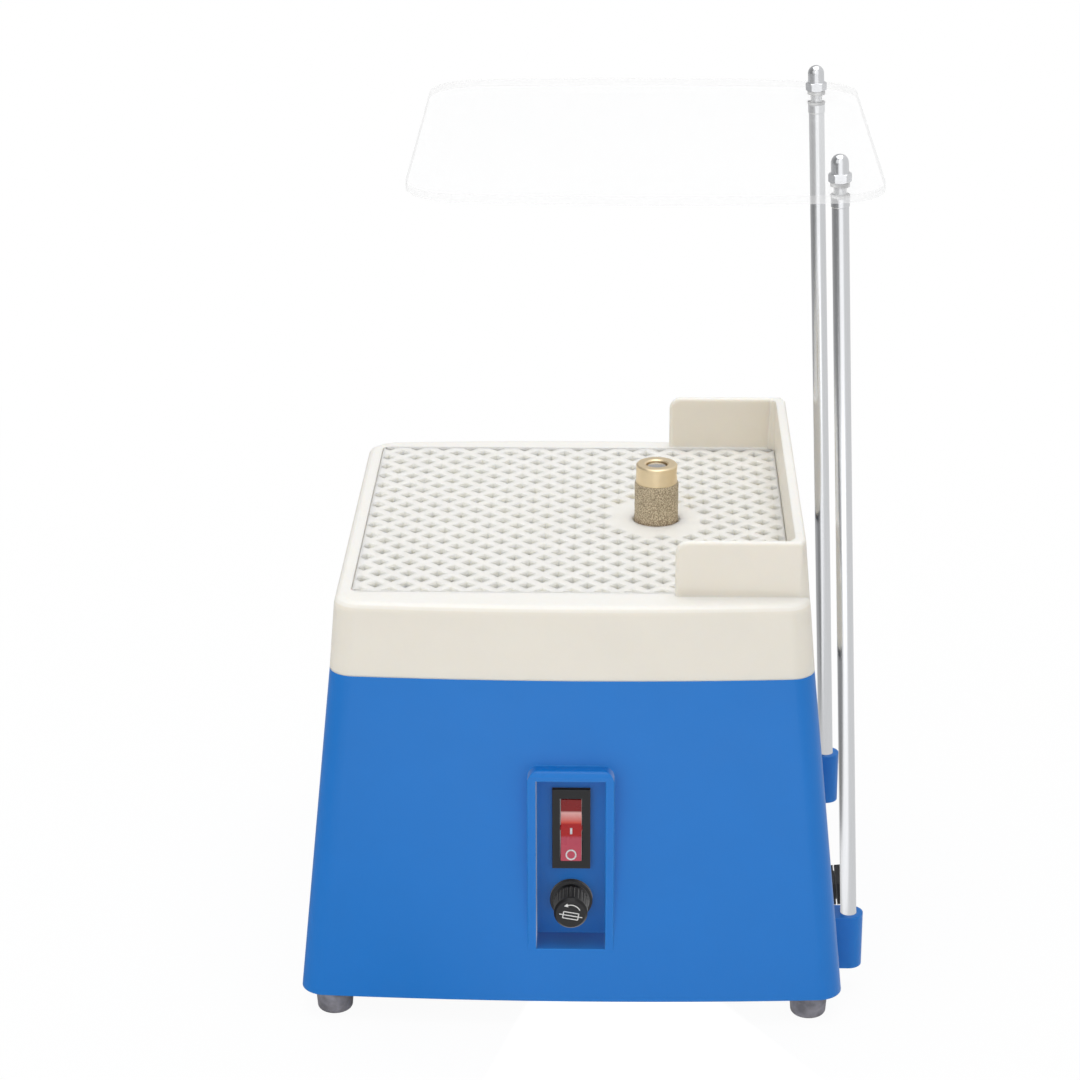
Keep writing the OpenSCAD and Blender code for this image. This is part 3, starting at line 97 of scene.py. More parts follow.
class Finish:
    """One procedural material. Lengths are in metres, and textures follow the piece's own coordinates."""

    def __init__(self, name):
        self.material = bpy.data.materials.new(name)
        self.material.use_nodes = True
        self.tree = self.material.node_tree
        self.shader = self.tree.nodes["Principled BSDF"]
        self.coords = self.tree.nodes.new("ShaderNodeTexCoord").outputs["Object"]

    def node(self, kind, **inputs):
        made = self.tree.nodes.new(kind)
        for name, value in inputs.items():
            self.feed(made.inputs[name.replace("_", " ")], value)
        return made

    def feed(self, socket, value):
        if isinstance(value, bpy.types.NodeSocket):
            self.tree.links.new(value, socket)
        else:
            socket.default_value = value

    def set(self, **inputs):
        for name, value in inputs.items():
            self.feed(self.shader.inputs[name.replace("_", " ")], value)
        return self

    def stretched(self, scale):
        mapping = self.node("ShaderNodeMapping", Vector=self.coords)
        mapping.inputs["Scale"].default_value = scale
        return mapping.outputs["Vector"]

    def noise(self, size, detail=3.0, roughness=0.55, stretch=None):
        vector = self.stretched(stretch) if stretch else self.coords
        made = self.node("ShaderNodeTexNoise", Vector=vector, Scale=1.0 / size, Detail=detail,
                         Roughness=roughness)
        return made.outputs["Fac"]

    def cells(self, size):
        return self.node("ShaderNodeTexVoronoi", Vector=self.coords, Scale=1.0 / size).outputs["Distance"]

    def rings(self, size):
        """Fine bands across the upright axis."""
        made = self.node("ShaderNodeTexWave", Vector=self.coords, Scale=0.31 / size, Distortion=0.4)
        made.wave_type = "BANDS"
        made.bands_direction = "Z"
        return made.outputs["Fac"]

    def ramp(self, factor, low, high, start=0.0, end=1.0):
        made = self.node("ShaderNodeMapRange", Value=factor)
        for name, value in (("From Min", start), ("From Max", end), ("To Min", low), ("To Max", high)):
            made.inputs[name].default_value = value
        return made.outputs["Result"]

    def mix(self, factor, first, second):
        made = self.tree.nodes.new("ShaderNodeMix")
        made.data_type = "RGBA"
        self.feed(made.inputs[0], factor)
        for socket, value in ((made.inputs[6], first), (made.inputs[7], second)):
            self.feed(socket, linear(value) if isinstance(value, tuple) else value)
        return made.outputs[2]

    def maths(self, operation, first, second=0.0):
        made = self.tree.nodes.new("ShaderNodeMath")
        made.operation = operation
        self.feed(made.inputs[0], first)
        self.feed(made.inputs[1], second)
        return made.outputs[0]

    def soft_edge(self, radius):
        """Normal of an edge rounded to this radius."""
        made = self.tree.nodes.new("ShaderNodeBevel")
        made.samples = 6
        made.inputs["Radius"].default_value = radius
        return made.outputs["Normal"]

    def edge_mask(self, radius):
        """1 on edges, 0 on flat ground."""
        geometry = self.tree.nodes.new("ShaderNodeNewGeometry").outputs["Normal"]
        dot = self.tree.nodes.new("ShaderNodeVectorMath")
        dot.operation = "DOT_PRODUCT"
        self.feed(dot.inputs[0], self.soft_edge(radius))
        self.feed(dot.inputs[1], geometry)
        return self.ramp(dot.outputs["Value"], 1.0, 0.0, start=0.86, end=0.995)

    def upwardness(self):
        """Z of the normal: 1 facing up, 0 on a wall, -1 facing down."""
        normal = self.tree.nodes.new("ShaderNodeNewGeometry").outputs["Normal"]
        return self.node("ShaderNodeSeparateXYZ", Vector=normal).outputs["Z"]

    def facing_up(self):
        """1 on level ground, 0 on walls."""
        return self.ramp(self.upwardness(), 0.0, 1.0, start=0.35, end=0.95)

    def height(self):
        """Height above the bench at rest."""
        return self.node("ShaderNodeSeparateXYZ", Vector=self.coords).outputs["Z"]

    def bump(self, relief, depth, strength=1.0, normal=None):
        made = self.node("ShaderNodeBump", Height=relief, Strength=strength, Distance=depth)
        if normal is not None:
            self.feed(made.inputs["Normal"], normal)
        self.feed(self.shader.inputs["Normal"], made.outputs["Normal"])
        return self


def moulded(name, colour, edge, rough, top=None, grain=0.35 * MM, depth=0.012 * MM, radius=0.9 * MM, glow=0.0,
            shine=0.5):
    """Injection moulded plastic: faint mottling, a fine spark-eroded grain, softened edges, and edges painted
    paler, a painted highlight.

    Where a top colour is given, the faces that look up are painted towards it, a painted highlight from the
    light above."""
    f = Finish(name)
    f.set(Subsurface_Weight=glow, Subsurface_Radius=(1.0, 0.85, 0.65), Subsurface_Scale=3 * MM)
    f.set(Specular_IOR_Level=shine)
    mottled = f.mix(f.noise(24 * MM, 4.0), shade(colour, 0.975), shade(colour, 1.015))
    # painted highlight: faces that look up are painted in the top colour
    if top:
        mottled = f.mix(f.facing_up(), mottled, top)
    flecked = f.mix(f.ramp(f.noise(2.2 * MM, 2.0), 0.0, 0.35), mottled, shade(colour, 0.985))
    # painted highlight: the edges are painted towards the edge colour
    f.set(Base_Color=f.mix(f.maths("MULTIPLY", f.edge_mask(1.2 * MM), 0.55), flecked, edge))
    f.set(Roughness=f.ramp(f.noise(9 * MM, 5.0), rough - 0.05, rough + 0.06))
    f.bump(f.noise(grain, 2.0), depth, normal=f.soft_edge(radius))
    return f.material


def grid_plastic(name):
    """White plastic whose hole walls are painted lighter and warmer than its top, a painted glow; subsurface
    scattering lets some real light through the thin bars.
    """
    f = Finish(name)
    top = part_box("work_grid")[1].z
    # painted glow: the walls of the holes, below the top, are painted in the glow colour
    painted_glow_in_holes = f.ramp(f.height(), 1.0, 0.0, start=top - 1.6 * MM, end=top - 0.2 * MM)
    mottled = f.mix(f.noise(20 * MM, 4.0), shade(GRID_WHITE, 0.985), GRID_WHITE)
    f.set(Base_Color=f.mix(painted_glow_in_holes, mottled, GRID_PAINTED_GLOW))
    f.set(Subsurface_Weight=1.0, Subsurface_Radius=(1.0, 0.97, 0.88), Subsurface_Scale=6 * MM)
    f.set(Roughness=f.ramp(f.noise(7 * MM, 4.0), 0.36, 0.46))
    f.bump(f.noise(0.35 * MM, 2.0), 0.012 * MM, normal=f.soft_edge(1.3 * MM))
    return f.material


def metal(name, colour, rough, stretch=None, size=0.8 * MM, depth=0.006 * MM, radius=0.25 * MM):
    """Machined or rolled metal: brushed along one direction, with smudges in its gloss."""
    f = Finish(name)
    brushed = f.noise(size, 3.0, stretch=stretch)
    smudge = f.noise(14 * MM, 4.0)
    f.set(Metallic=1.0, Base_Color=f.mix(brushed, shade(colour, 0.90), shade(colour, 1.03)))
    f.set(Roughness=f.maths("ADD", f.ramp(smudge, rough * 0.75, rough * 1.2), f.ramp(brushed, 0.0, 0.05)))
    f.bump(brushed, depth, normal=f.soft_edge(radius))
    return f.material


def turned(name, colour, rough, pitch=0.22 * MM, depth=0.004 * MM):
    """Metal turned on a lathe: fine rings across the upright axis and a faint stain."""
    f = Finish(name)
    rings = f.rings(pitch)
    stain = f.noise(5.0 * MM, 3.0)
    f.set(Metallic=1.0, Base_Color=f.mix(stain, shade(colour, 0.96), shade(colour, 1.02)))
    f.set(Roughness=f.ramp(stain, rough * 0.9, rough * 1.12))
    f.bump(rings, depth, normal=f.soft_edge(0.35 * MM))
    return f.material


def rubber(name, colour, rough=0.62):
    """Moulded rubber: matt, with slightly dusty patches spread at random."""
    f = Finish(name)
    dust = f.noise(5 * MM, 6.0)
    f.set(Base_Color=f.mix(f.ramp(dust, 0.0, 1.0, 0.35, 0.75), shade(colour, 0.85), shade(colour, 1.25)))
    f.set(Roughness=f.ramp(dust, rough - 0.1, rough + 0.1))
    f.bump(f.noise(0.5 * MM, 3.0), 0.03 * MM, normal=f.soft_edge(0.5 * MM))
    return f.material


def cast(name, colour, metallic, rough, grain=0.6 * MM):
    """Cast, sintered or stacked metal with a coarse skin."""
    f = Finish(name)
    skin = f.noise(grain, 5.0)
    f.set(Metallic=metallic, Base_Color=f.mix(skin, shade(colour, 0.8), shade(colour, 1.12)))
    f.set(Roughness=f.ramp(skin, rough - 0.08, rough + 0.1))
    f.bump(skin, 0.05 * MM, normal=f.soft_edge(0.4 * MM))
    return f.material


def chrome(name):
    """Polished chrome plating with faint drawing lines along the rod."""
    f = Finish(name)
    lines = f.noise(0.5 * MM, 2.0, stretch=(1.0, 1.0, 0.02))
    f.set(Metallic=1.0, Base_Color=f.mix(lines, shade(CHROME, 0.97), CHROME))
    f.set(Roughness=f.ramp(f.noise(11 * MM, 4.0), 0.21, 0.27))
    f.bump(lines, 0.002 * MM, normal=f.soft_edge(0.2 * MM))
    return f.material


def clear_sheet(name):
    """Clear acrylic sheet: nearly invisible faces with the faintest wipe marks, a painted sheen that makes
    the faces more opaque towards grazing, and cut edges painted white and more opaque, a painted highlight.
    """
    f = Finish(name)
    wipe = f.noise(30 * MM, 4.0, stretch=(1.0, 0.3, 1.0))
    cut_edge = f.ramp(f.maths("ABSOLUTE", f.upwardness()), 1.0, 0.0, start=0.3, end=0.9)
    gloss = f.node("ShaderNodeLayerWeight", Blend=0.25).outputs["Facing"]
    # painted sheen: the faces grow more opaque towards grazing
    face = f.ramp(f.maths("MULTIPLY", gloss, gloss), 0.10, 0.28)
    # painted highlight: the cut edges are paler and more opaque
    f.set(Base_Color=f.mix(cut_edge, (0.945, 0.947, 0.950), (1.0, 1.0, 1.0)))
    f.set(Alpha=f.maths("ADD", face, f.maths("MULTIPLY", cut_edge, 0.20)))
    f.set(Roughness=f.ramp(wipe, 0.02, 0.07, 0.4, 0.7))
    f.bump(wipe, 0.01 * MM)
    return f.material


def clear_glass(name):
    f = Finish(name)
    ripple = f.noise(4 * MM, 3.0)
    f.set(Base_Color=linear((0.96, 0.98, 0.98)), Transmission_Weight=1.0, IOR=1.5)
    f.set(Roughness=f.ramp(ripple, 0.0, 0.04))
    f.bump(ripple, 0.02 * MM)
    return f.material


def diamond_grit(name):
    """Bonded diamond grit: pale crystals in a grey-brown metal bond, with a copper tint low on the sleeve."""
    f = Finish(name)
    crystals = f.cells(0.48 * MM)
    crumbs = f.noise(0.3 * MM, 5.0)
    low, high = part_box("diamond_sleeve")
    near_foot = f.ramp(f.height(), 1.0, 0.0, start=low.z + 3 * MM, end=low.z + 9 * MM)
    bond = f.mix(f.maths("MULTIPLY", near_foot, 0.55), GRIT_DARK, GRIT_COPPER)
    speckle = f.maths("ADD", f.ramp(crystals, 0.75, 0.0, 0.10, 0.70), f.ramp(crumbs, -0.25, 0.55, 0.3, 0.7))
    f.set(Base_Color=f.mix(speckle, bond, GRIT_LIGHT))
    f.set(Metallic=0.2, Roughness=f.ramp(crumbs, 0.42, 0.8))
    f.bump(crystals, 0.12 * MM, strength=0.8)
    return f.material


def foam(name):
    """Open-cell sponge, its pores painted darker, a painted shade."""
    f = Finish(name)
    pores = f.cells(1.5 * MM)
    fine = f.cells(0.6 * MM)
    # painted shade: the pores are painted darker than the cell walls
    f.set(Base_Color=f.mix(f.ramp(pores, 0.0, 1.0, 0.1, 0.5), (0.62, 0.50, 0.22), (0.90, 0.80, 0.45)))
    f.set(Roughness=f.ramp(fine, 0.8, 0.98))
    f.bump(f.maths("ADD", pores, f.maths("MULTIPLY", fine, 0.4)), 0.6 * MM)
    return f.material


def red_with_painted_light(name):
    """Red rocker with painted light: a painted pink sheen over its lower half, its own red across the middle,
    a painted highlight band above that and painted shade at the top, under the bezel.
    """
    f = Finish(name)
    low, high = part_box("switch_rocker")
    share = f.ramp(f.height(), 0.0, 1.0, start=low.z, end=high.z)
    cloud = f.noise(3.5 * MM, 3.0)
    # painted sheen: pink over the lower half, the rocker's own red above it
    sheen_and_red_below = f.mix(f.ramp(share, 0.0, 1.0, 0.385, 0.425), ROCKER_PINK_SHEEN, ROCKER_RED)
    # painted highlight: a band from warm red to glare
    glare = f.mix(f.ramp(share, 0.0, 1.0, 0.62, 0.78), ROCKER_WARM_GLARE, ROCKER_GLARE)
    upper = f.mix(f.ramp(share, 0.0, 1.0, 0.595, 0.625), sheen_and_red_below, glare)
    # painted shade: deep red at the top, under the bezel
    painted_shade_top = f.mix(f.ramp(share, 0.0, 1.0, 0.785, 0.815), upper, ROCKER_DEEP)
    f.set(Base_Color=f.mix(f.ramp(cloud, 0.0, 0.12), painted_shade_top, ROCKER_DEEP))
    f.set(Roughness=f.ramp(cloud, 0.24, 0.32), Specular_IOR_Level=0.3, Coat_Weight=0.1, Coat_Roughness=0.15)
    f.bump(cloud, 0.02 * MM, normal=f.soft_edge(0.4 * MM))
    return f.material


def board(name):
    """Printed circuit board: solder mask with traces under it."""
    f = Finish(name)
    traces = f.node("ShaderNodeTexBrick", Vector=f.coords, Scale=160.0)
    masked = f.mix(f.ramp(traces.outputs["Fac"], 0.0, 0.5), (0.05, 0.36, 0.18), (0.10, 0.46, 0.24))
    f.set(Base_Color=masked, Roughness=f.ramp(f.noise(6 * MM), 0.25, 0.4))
    f.bump(traces.outputs["Fac"], 0.03 * MM)
    return f.material


MATERIALS = {
    "blue_shell": moulded("blue_shell", BLUE, BLUE_EDGE_HIGHLIGHT, 0.34, shine=0.35),
    "cream_tray": moulded("cream_tray", CREAM, CREAM_EDGE_HIGHLIGHT, 0.30, top=CREAM_PAINTED_TOP_LIGHT, radius=1.2 * MM, glow=0.4),
    "white_grid": grid_plastic("white_grid"),
    "zinc_plate": metal("zinc_plate", STEEL, 0.38, stretch=(1.0, 0.05, 1.0)),
    "screw_steel": metal("screw_steel", STEEL, 0.30),
    "black_rubber": rubber("black_rubber", RUBBER),
    "sponge_foam": foam("sponge_foam"),
    "ground_steel": turned("ground_steel", STEEL, 0.22),
    "bit_brass": turned("bit_brass", BRASS, 0.36),
    "diamond_grit": diamond_grit("diamond_grit"),
    "black_oxide": metal("black_oxide", (0.16, 0.16, 0.17), 0.42),
    "cast_alloy": cast("cast_alloy", (0.74, 0.75, 0.77), 1.0, 0.45),
    "can_steel": metal("can_steel", (0.50, 0.51, 0.54), 0.36, stretch=(1.0, 1.0, 0.05)),
    "ferrite": cast("ferrite", (0.22, 0.22, 0.23), 0.1, 0.6),
    "lamination": turned("lamination", (0.52, 0.52, 0.54), 0.4, pitch=0.5 * MM, depth=0.05 * MM),
    "copper": turned("copper", COPPER, 0.28, pitch=0.6 * MM, depth=0.08 * MM),
    "black_plastic": moulded("black_plastic", BLACK, shade(BLACK, 2.2), 0.38, radius=0.35 * MM, shine=0.35),
    "brown_laminate": moulded("brown_laminate", (0.42, 0.26, 0.14), (0.50, 0.33, 0.20), 0.5),
    "carbon": cast("carbon", (0.13, 0.13, 0.13), 0.2, 0.55, grain=0.3 * MM),
    "spring_bronze": metal("spring_bronze", (0.82, 0.66, 0.40), 0.28),
    "red_rocker": red_with_painted_light("red_rocker"),
    "tinned": metal("tinned", (0.86, 0.86, 0.86), 0.24),
    "clear_glass": clear_glass("clear_glass"),
    "green_board": board("green_board"),
    "blue_sleeve": moulded("blue_sleeve", (0.12, 0.16, 0.38), (0.25, 0.30, 0.55), 0.3),
    "brass_hex": metal("brass_hex", (0.86, 0.72, 0.45), 0.25),
    "white_nylon": moulded("white_nylon", (0.965, 0.960, 0.945), PRINT_WHITE, 0.45),
    "brown_pvc": rubber("brown_pvc", (0.42, 0.22, 0.13), 0.4),
    "red_pvc": rubber("red_pvc", (0.75, 0.12, 0.10), 0.4),
    "chrome_rod": chrome("chrome_rod"),
    "clear_sheet": clear_sheet("clear_sheet"),
    "soft_washer": rubber("soft_washer", (0.78, 0.78, 0.78), 0.35),
}

for part in frame["record"]["subparts"]:
    mesh = frame["nodes"][part["node"]].data
    mesh.materials.clear()
    mesh.materials.append(MATERIALS[part["material_slot"]])

# ---------------------------------------------------------------- fine surface pieces

def new_piece(name, bm, slot, body, smooth=True):
    mesh = bpy.data.meshes.new(name)
    bm.to_mesh(mesh)
    bm.free()
    for face in mesh.polygons:
        face.use_smooth = smooth
    mesh.materials.append(MATERIALS[slot])
    piece = bpy.data.objects.new(name, mesh)
    bpy.context.scene.collection.objects.link(piece)
    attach(piece, body)
    return piece


def quad_strip(bm, first, second, closed=False):
    """Faces between two rows of vertices."""
    count = len(first)
    for i in range(count if closed else count - 1):
        k = (i + 1) % count
        bm.faces.new((first[i], first[k], second[k], second[i]))


def ring_of(bm, centre, radius_at, z, count):
    turns = [2 * math.pi * i / count for i in range(count)]
    return [bm.verts.new((centre.x + radius_at(a) * math.cos(a), centre.y + radius_at(a) * math.sin(a), z))
            for a in turns]


GRIT_SIZE = 0.55 * MM
GRIT_RELIEF = 0.28 * MM


def grit_sleeve():
    """The diamond sleeve with its crystals standing out of the bond."""
    low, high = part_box("diamond_sleeve")
    centre = (low + high) / 2
    outer = (high.x - low.x) / 2
    inner = (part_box("bit_core")[1].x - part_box("bit_core")[0].x) / 2 - 1.0 * MM
    around, rows = 216, 86

    def radius(angle, z):
        if not low.z + 0.3 * MM < z < high.z - 0.3 * MM:
            return outer - 0.3 * MM
        spot = Vector((outer * math.cos(angle), outer * math.sin(angle), z)) / GRIT_SIZE
        nearest = noise.voronoi(spot)[0][0]
        return outer - GRIT_RELIEF * min(1.0, nearest) - 0.05 * MM * (1 + noise.noise(spot * 0.31))

    bm = bmesh.new()
    previous = ring_of(bm, centre, lambda a: inner, low.z, around)
    inner_bottom = previous
    for i in range(rows + 1):
        z = low.z + (high.z - low.z) * i / rows
        current = ring_of(bm, centre, lambda a: radius(a, z), z, around)
        quad_strip(bm, previous, current, closed=True)
        previous = current
    top = ring_of(bm, centre, lambda a: inner, high.z, around)
    quad_strip(bm, previous, top, closed=True)
    quad_strip(bm, top, inner_bottom, closed=True)
    piece = new_piece("diamond_grit_sleeve", bm, "diamond_grit", "bit")
    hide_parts("diamond_sleeve")


def foam_block():
    """The sponge with open cells in its skin."""
    piece = bpy.data.objects.new("foam_sponge", frame["nodes"]["sponge"].data.copy())
    bpy.context.scene.collection.objects.link(piece)
    bpy.context.view_layer.objects.active = piece
    merge = piece.modifiers.new("merge", "WELD")
    merge.merge_threshold = 0.001 * MM
    voxels = piece.modifiers.new("voxels", "REMESH")
    voxels.mode = "VOXEL"
    voxels.voxel_size = 0.55 * MM
    evaluated = piece.evaluated_get(bpy.context.evaluated_depsgraph_get())
    bm = bmesh.new()
    bm.from_mesh(evaluated.to_mesh())
    bm.normal_update()
    for vertex in bm.verts:
        spot = vertex.co / (2.2 * MM)
        pore = max(0.0, 1.0 - noise.voronoi(spot)[0][0] / 0.45)
        rough = 0.5 + 0.5 * noise.noise(spot * 0.4)
        vertex.co -= vertex.normal * (0.7 * MM * pore + 0.35 * MM * rough)
    bpy.data.objects.remove(piece)
    sponge = new_piece("foam_sponge", bm, "sponge_foam", "tray")
    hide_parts("sponge")


class Mark:
    """Thin printed or moulded lines that follow the front of a node. Points are (x, z) in metres."""

    def __init__(self, node, lift=0.07 * MM):
        self.surface = BVHTree.FromObject(frame["nodes"][node], bpy.context.evaluated_depsgraph_get())
        self.lift = lift
        self.bm = bmesh.new()

    def column(self, x, z):
        hit = self.surface.ray_cast(Vector((x, -1.0, z)), Vector((0.0, 1.0, 0.0)))[0]
        front = self.bm.verts.new(hit - Vector((0.0, self.lift, 0.0)))
        back = self.bm.verts.new(hit + Vector((0.0, self.lift, 0.0)))
        return front, back

    def ribbon(self, path, width, closed=False):
        """A line of even width along a path."""
        sides = ([], [])
        last = len(path) - 1
        for i, (x, z) in enumerate(path):
            before = path[i - 1] if i or closed else path[0]
            after = path[(i + 1) % len(path)] if i < last or closed else path[last]
            along = Vector((after[0] - before[0], after[1] - before[1])).normalized()
            for side, sign in zip(sides, (0.5, -0.5)):
                side.append(self.column(x - along.y * width * sign, z + along.x * width * sign))
        self.solid(sides[0], sides[1], closed)

    def arrowhead(self, root, before, length, width):
        """A filled triangle that points on from the end of a line."""
        along = Vector((root[0] - before[0], root[1] - before[1])).normalized()
        tip = (root[0] + along.x * length, root[1] + along.y * length)
        corners = [(root[0] - along.y * width * sign, root[1] + along.x * width * sign)
                   for sign in (0.5, -0.5)]
        columns = [self.column(*spot) for spot in (corners[0], tip, corners[1])]
        self.bm.faces.new([pair[0] for pair in columns])
        self.bm.faces.new([pair[1] for pair in reversed(columns)])
        for i in range(3):
            k = (i + 1) % 3
            self.bm.faces.new((columns[i][0], columns[k][0], columns[k][1], columns[i][1]))

    def solid(self, first, second, closed):
        fronts = [[pair[0] for pair in row] for row in (first, second)]
        backs = [[pair[1] for pair in row] for row in (first, second)]
        quad_strip(self.bm, fronts[0], fronts[1], closed)
        quad_strip(self.bm, backs[1], backs[0], closed)
        quad_strip(self.bm, backs[0], fronts[0], closed)
        quad_strip(self.bm, fronts[1], backs[1], closed)
        if not closed:
            for end in (0, -1):
                self.bm.faces.new((fronts[0][end], backs[0][end], backs[1][end], fronts[1][end]))

    def finish(self, name, slot, body):
        bmesh.ops.recalc_face_normals(self.bm, faces=self.bm.faces)
        return new_piece(name, self.bm, slot, body, smooth=False)


def arc(centre, radius, start, end, steps=24, squash=1.0):
    """Points along an arc, angles in degrees from +X towards +Z."""
    angles = [math.radians(start + (end - start) * i / steps) for i in range(steps + 1)]
    return [(centre[0] + radius * math.cos(a), centre[1] + radius * squash * math.sin(a)) for a in angles]


def rocker_marks():
    """The on bar and the off ring, moulded in white."""
    low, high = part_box("switch_rocker")
    middle = (low.x + high.x) / 2
    height = high.z - low.z
    mark = Mark("switch_rocker")
    bar = low.z + 0.49 * height
    mark.ribbon([(middle, bar - 1.15 * MM), (middle, bar + 1.15 * MM)], 0.85 * MM)
    ring = low.z + 0.14 * height
    mark.ribbon(arc((middle, ring), 1.75 * MM, 0, 345, 23, squash=0.95), 0.55 * MM, closed=True)
    mark.finish("rocker_marks", "white_nylon", "rocker")


def cap_marks():
    """A turning arrow and the plain symbol for a fuse, on the face of the cap."""
    low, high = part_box("fuse_cap")
    face = ((low.x + high.x) / 2, (low.z + high.z) / 2)
    mark = Mark("fuse_cap", lift=0.05 * MM)
    bow = arc(face, 3.7 * MM, 24, 106, 16)
    mark.ribbon(bow, 0.34 * MM)
    mark.arrowhead(bow[-1], bow[-2], 1.5 * MM, 1.5 * MM)
    tilt = math.radians(-10)
    across = (math.cos(tilt), math.sin(tilt))
    up = (-across[1], across[0])

    def spot(along, rise):
        return (face[0] + across[0] * along + up[0] * rise,
                face[1] - 0.7 * MM + across[1] * along + up[1] * rise)

    box = [spot(a * 2.8 * MM, b * 1.3 * MM) for a, b in ((-1, -1), (1, -1), (1, 1), (-1, 1))]
    for i in range(4):
        mark.ribbon([box[i], box[(i + 1) % 4]], 0.36 * MM)
    mark.ribbon([spot(-4.3 * MM, 0.0), spot(4.3 * MM, 0.0)], 0.36 * MM)
    mark.finish("fuse_cap_marks", "white_nylon", "fuse_cap")


grit_sleeve()
foam_block()
rocker_marks()
cap_marks()

# ---------------------------------------------------------------- two departures from real light

# A real clear sheet shades what is under it by about a tenth. This one shades nothing.
frame["nodes"]["shield"].visible_shadow = False

# Of the CAD nodes, mirror rays find only these. The housing is left out so that the rods mirror grey
# and not blue. What stands inside it is left out too, or it would show in the rods through the wall.
# This has a cost: it pales the dark side of the rods beside the housing, the sill of the switch recess
# and the gaps beside the rocker. To leave out the housing alone, use: name != "housing".
MIRRORED = ("water_tray", "work_grid", "bit_core", "feet", "shield", "shield_rods", "rod_collars",
            "shield_washers", "cap_nuts")
for name, solid in frame["nodes"].items():
    solid.visible_glossy = name in MIRRORED

# ---------------------------------------------------------------- studio

AMBIENT = 0.70
MIDDLE = (0.0, 0.0, 0.14)
FLOOR_SIZE = 8.0
SHADOW_SHARE = 0.05
SHADOW_REACH = (0.22, 0.70)
WINDOW = (0.156, -0.988, 0.0)
WINDOW_TONE = 1.2
LEFT_WALL = (-0.80, -0.60, 0.0)
RIGHT_WALL = (1.0, 0.0, 0.0)


class Studio:
    """Wraps a shader so that camera, mirror and glass rays see the plain white studio.

    Mirror rays find a bright window in front, a dark wall on the left and a grey one on the right,
    which draws the bands on chrome."""

    def __init__(self, tree, output, emitter):
        self.tree = tree
        self.output = output
        self.emitter = emitter

    def maths(self, operation, first, second=0.0):
        made = self.tree.nodes.new("ShaderNodeMath")
        made.operation = operation
        for socket, value in zip(made.inputs, (first, second)):
            if isinstance(value, bpy.types.NodeSocket):
                self.tree.links.new(value, socket)
            else:
                socket.default_value = value
        return made.outputs[0]

    def ramp(self, factor, low, high, start, end):
        made = self.tree.nodes.new("ShaderNodeMapRange")
        made.interpolation_type = "SMOOTHSTEP"
        self.tree.links.new(factor, made.inputs["Value"])
        for name, value in (("From Min", start), ("From Max", end), ("To Min", low), ("To Max", high)):
            made.inputs[name].default_value = value
        return made.outputs["Result"]

    def towards(self, unit, compass, low, high, start, end):
        """Fades from low to high as the direction nears this compass vector."""
        dot = self.tree.nodes.new("ShaderNodeVectorMath")
        dot.operation = "DOT_PRODUCT"
        dot.inputs[1].default_value = compass
        self.tree.links.new(unit, dot.inputs[0])
        return self.ramp(dot.outputs["Value"], low, high, start, end)

    def wall_tone(self, vector):
        """How bright the studio is in this direction: brightest in the window, dark left, grey right."""
        flat = self.tree.nodes.new("ShaderNodeVectorMath")
        flat.operation = "MULTIPLY"
        flat.inputs[1].default_value = (1.0, 1.0, 0.0)
        self.tree.links.new(vector, flat.inputs[0])
        unit = self.tree.nodes.new("ShaderNodeVectorMath")
        unit.operation = "NORMALIZE"
        self.tree.links.new(flat.outputs["Vector"], unit.inputs[0])
        window = self.towards(unit.outputs["Vector"], WINDOW, 0.0, WINDOW_TONE, 0.78, 0.97)
        left = self.towards(unit.outputs["Vector"], LEFT_WALL, 0.46, 0.26, 0.0, 0.9)
        right = self.towards(unit.outputs["Vector"], RIGHT_WALL, 0.0, 0.30, -0.3, 0.5)
        return self.maths("MAXIMUM", window, self.maths("ADD", left, right))

    def wrap(self, shaded, vector, whiteness):
        path = self.tree.nodes.new("ShaderNodeLightPath").outputs
        seen = self.maths("MAXIMUM", self.maths("MAXIMUM", path["Is Camera Ray"], path["Is Glossy Ray"]),
                          path["Is Transmission Ray"])
        plain = self.maths("SUBTRACT", 1.0, path["Is Glossy Ray"])
        tone = self.maths("MAXIMUM", self.wall_tone(vector), plain)
        emission = self.tree.nodes.new(self.emitter)
        emission.inputs["Color"].default_value = (1.0, 1.0, 1.0, 1.0)
        self.tree.links.new(tone, emission.inputs["Strength"])
        mixed = self.tree.nodes.new("ShaderNodeMixShader")
        self.tree.links.new(self.maths("MULTIPLY", seen, whiteness), mixed.inputs[0])
        self.tree.links.new(shaded, mixed.inputs[1])
        self.tree.links.new(emission.outputs[0], mixed.inputs[2])
        self.tree.links.new(mixed.outputs[0], self.output.inputs["Surface"])


def make_floor():
    mesh = bpy.data.meshes.new("studio_floor")
    side = FLOOR_SIZE / 2
    corners = [(-side, -side, 0), (side, -side, 0), (side, side, 0), (-side, side, 0)]
    mesh.from_pydata(corners, [], [(0, 1, 2, 3)])
    floor = bpy.data.objects.new("studio_floor", mesh)
    bpy.context.scene.collection.objects.link(floor)
    material = bpy.data.materials.new("studio_floor")
    material.use_nodes = True
    tree = material.node_tree
    shaded = tree.nodes["Principled BSDF"]
    shaded.inputs["Base Color"].default_value = (0.86, 0.86, 0.86, 1.0)
    shaded.inputs["Roughness"].default_value = 0.9
    shaded.inputs["Specular IOR Level"].default_value = 0.0
    studio = Studio(tree, tree.nodes["Material Output"], "ShaderNodeEmission")
    place = tree.nodes.new("ShaderNodeNewGeometry").outputs["Position"]
    distance = tree.nodes.new("ShaderNodeVectorMath")
    distance.operation = "LENGTH"
    tree.links.new(place, distance.inputs[0])
    whiteness = studio.ramp(distance.outputs["Value"], 1.0 - SHADOW_SHARE, 1.0, *SHADOW_REACH)
    studio.wrap(shaded.outputs[0], place, whiteness)
    mesh.materials.append(material)


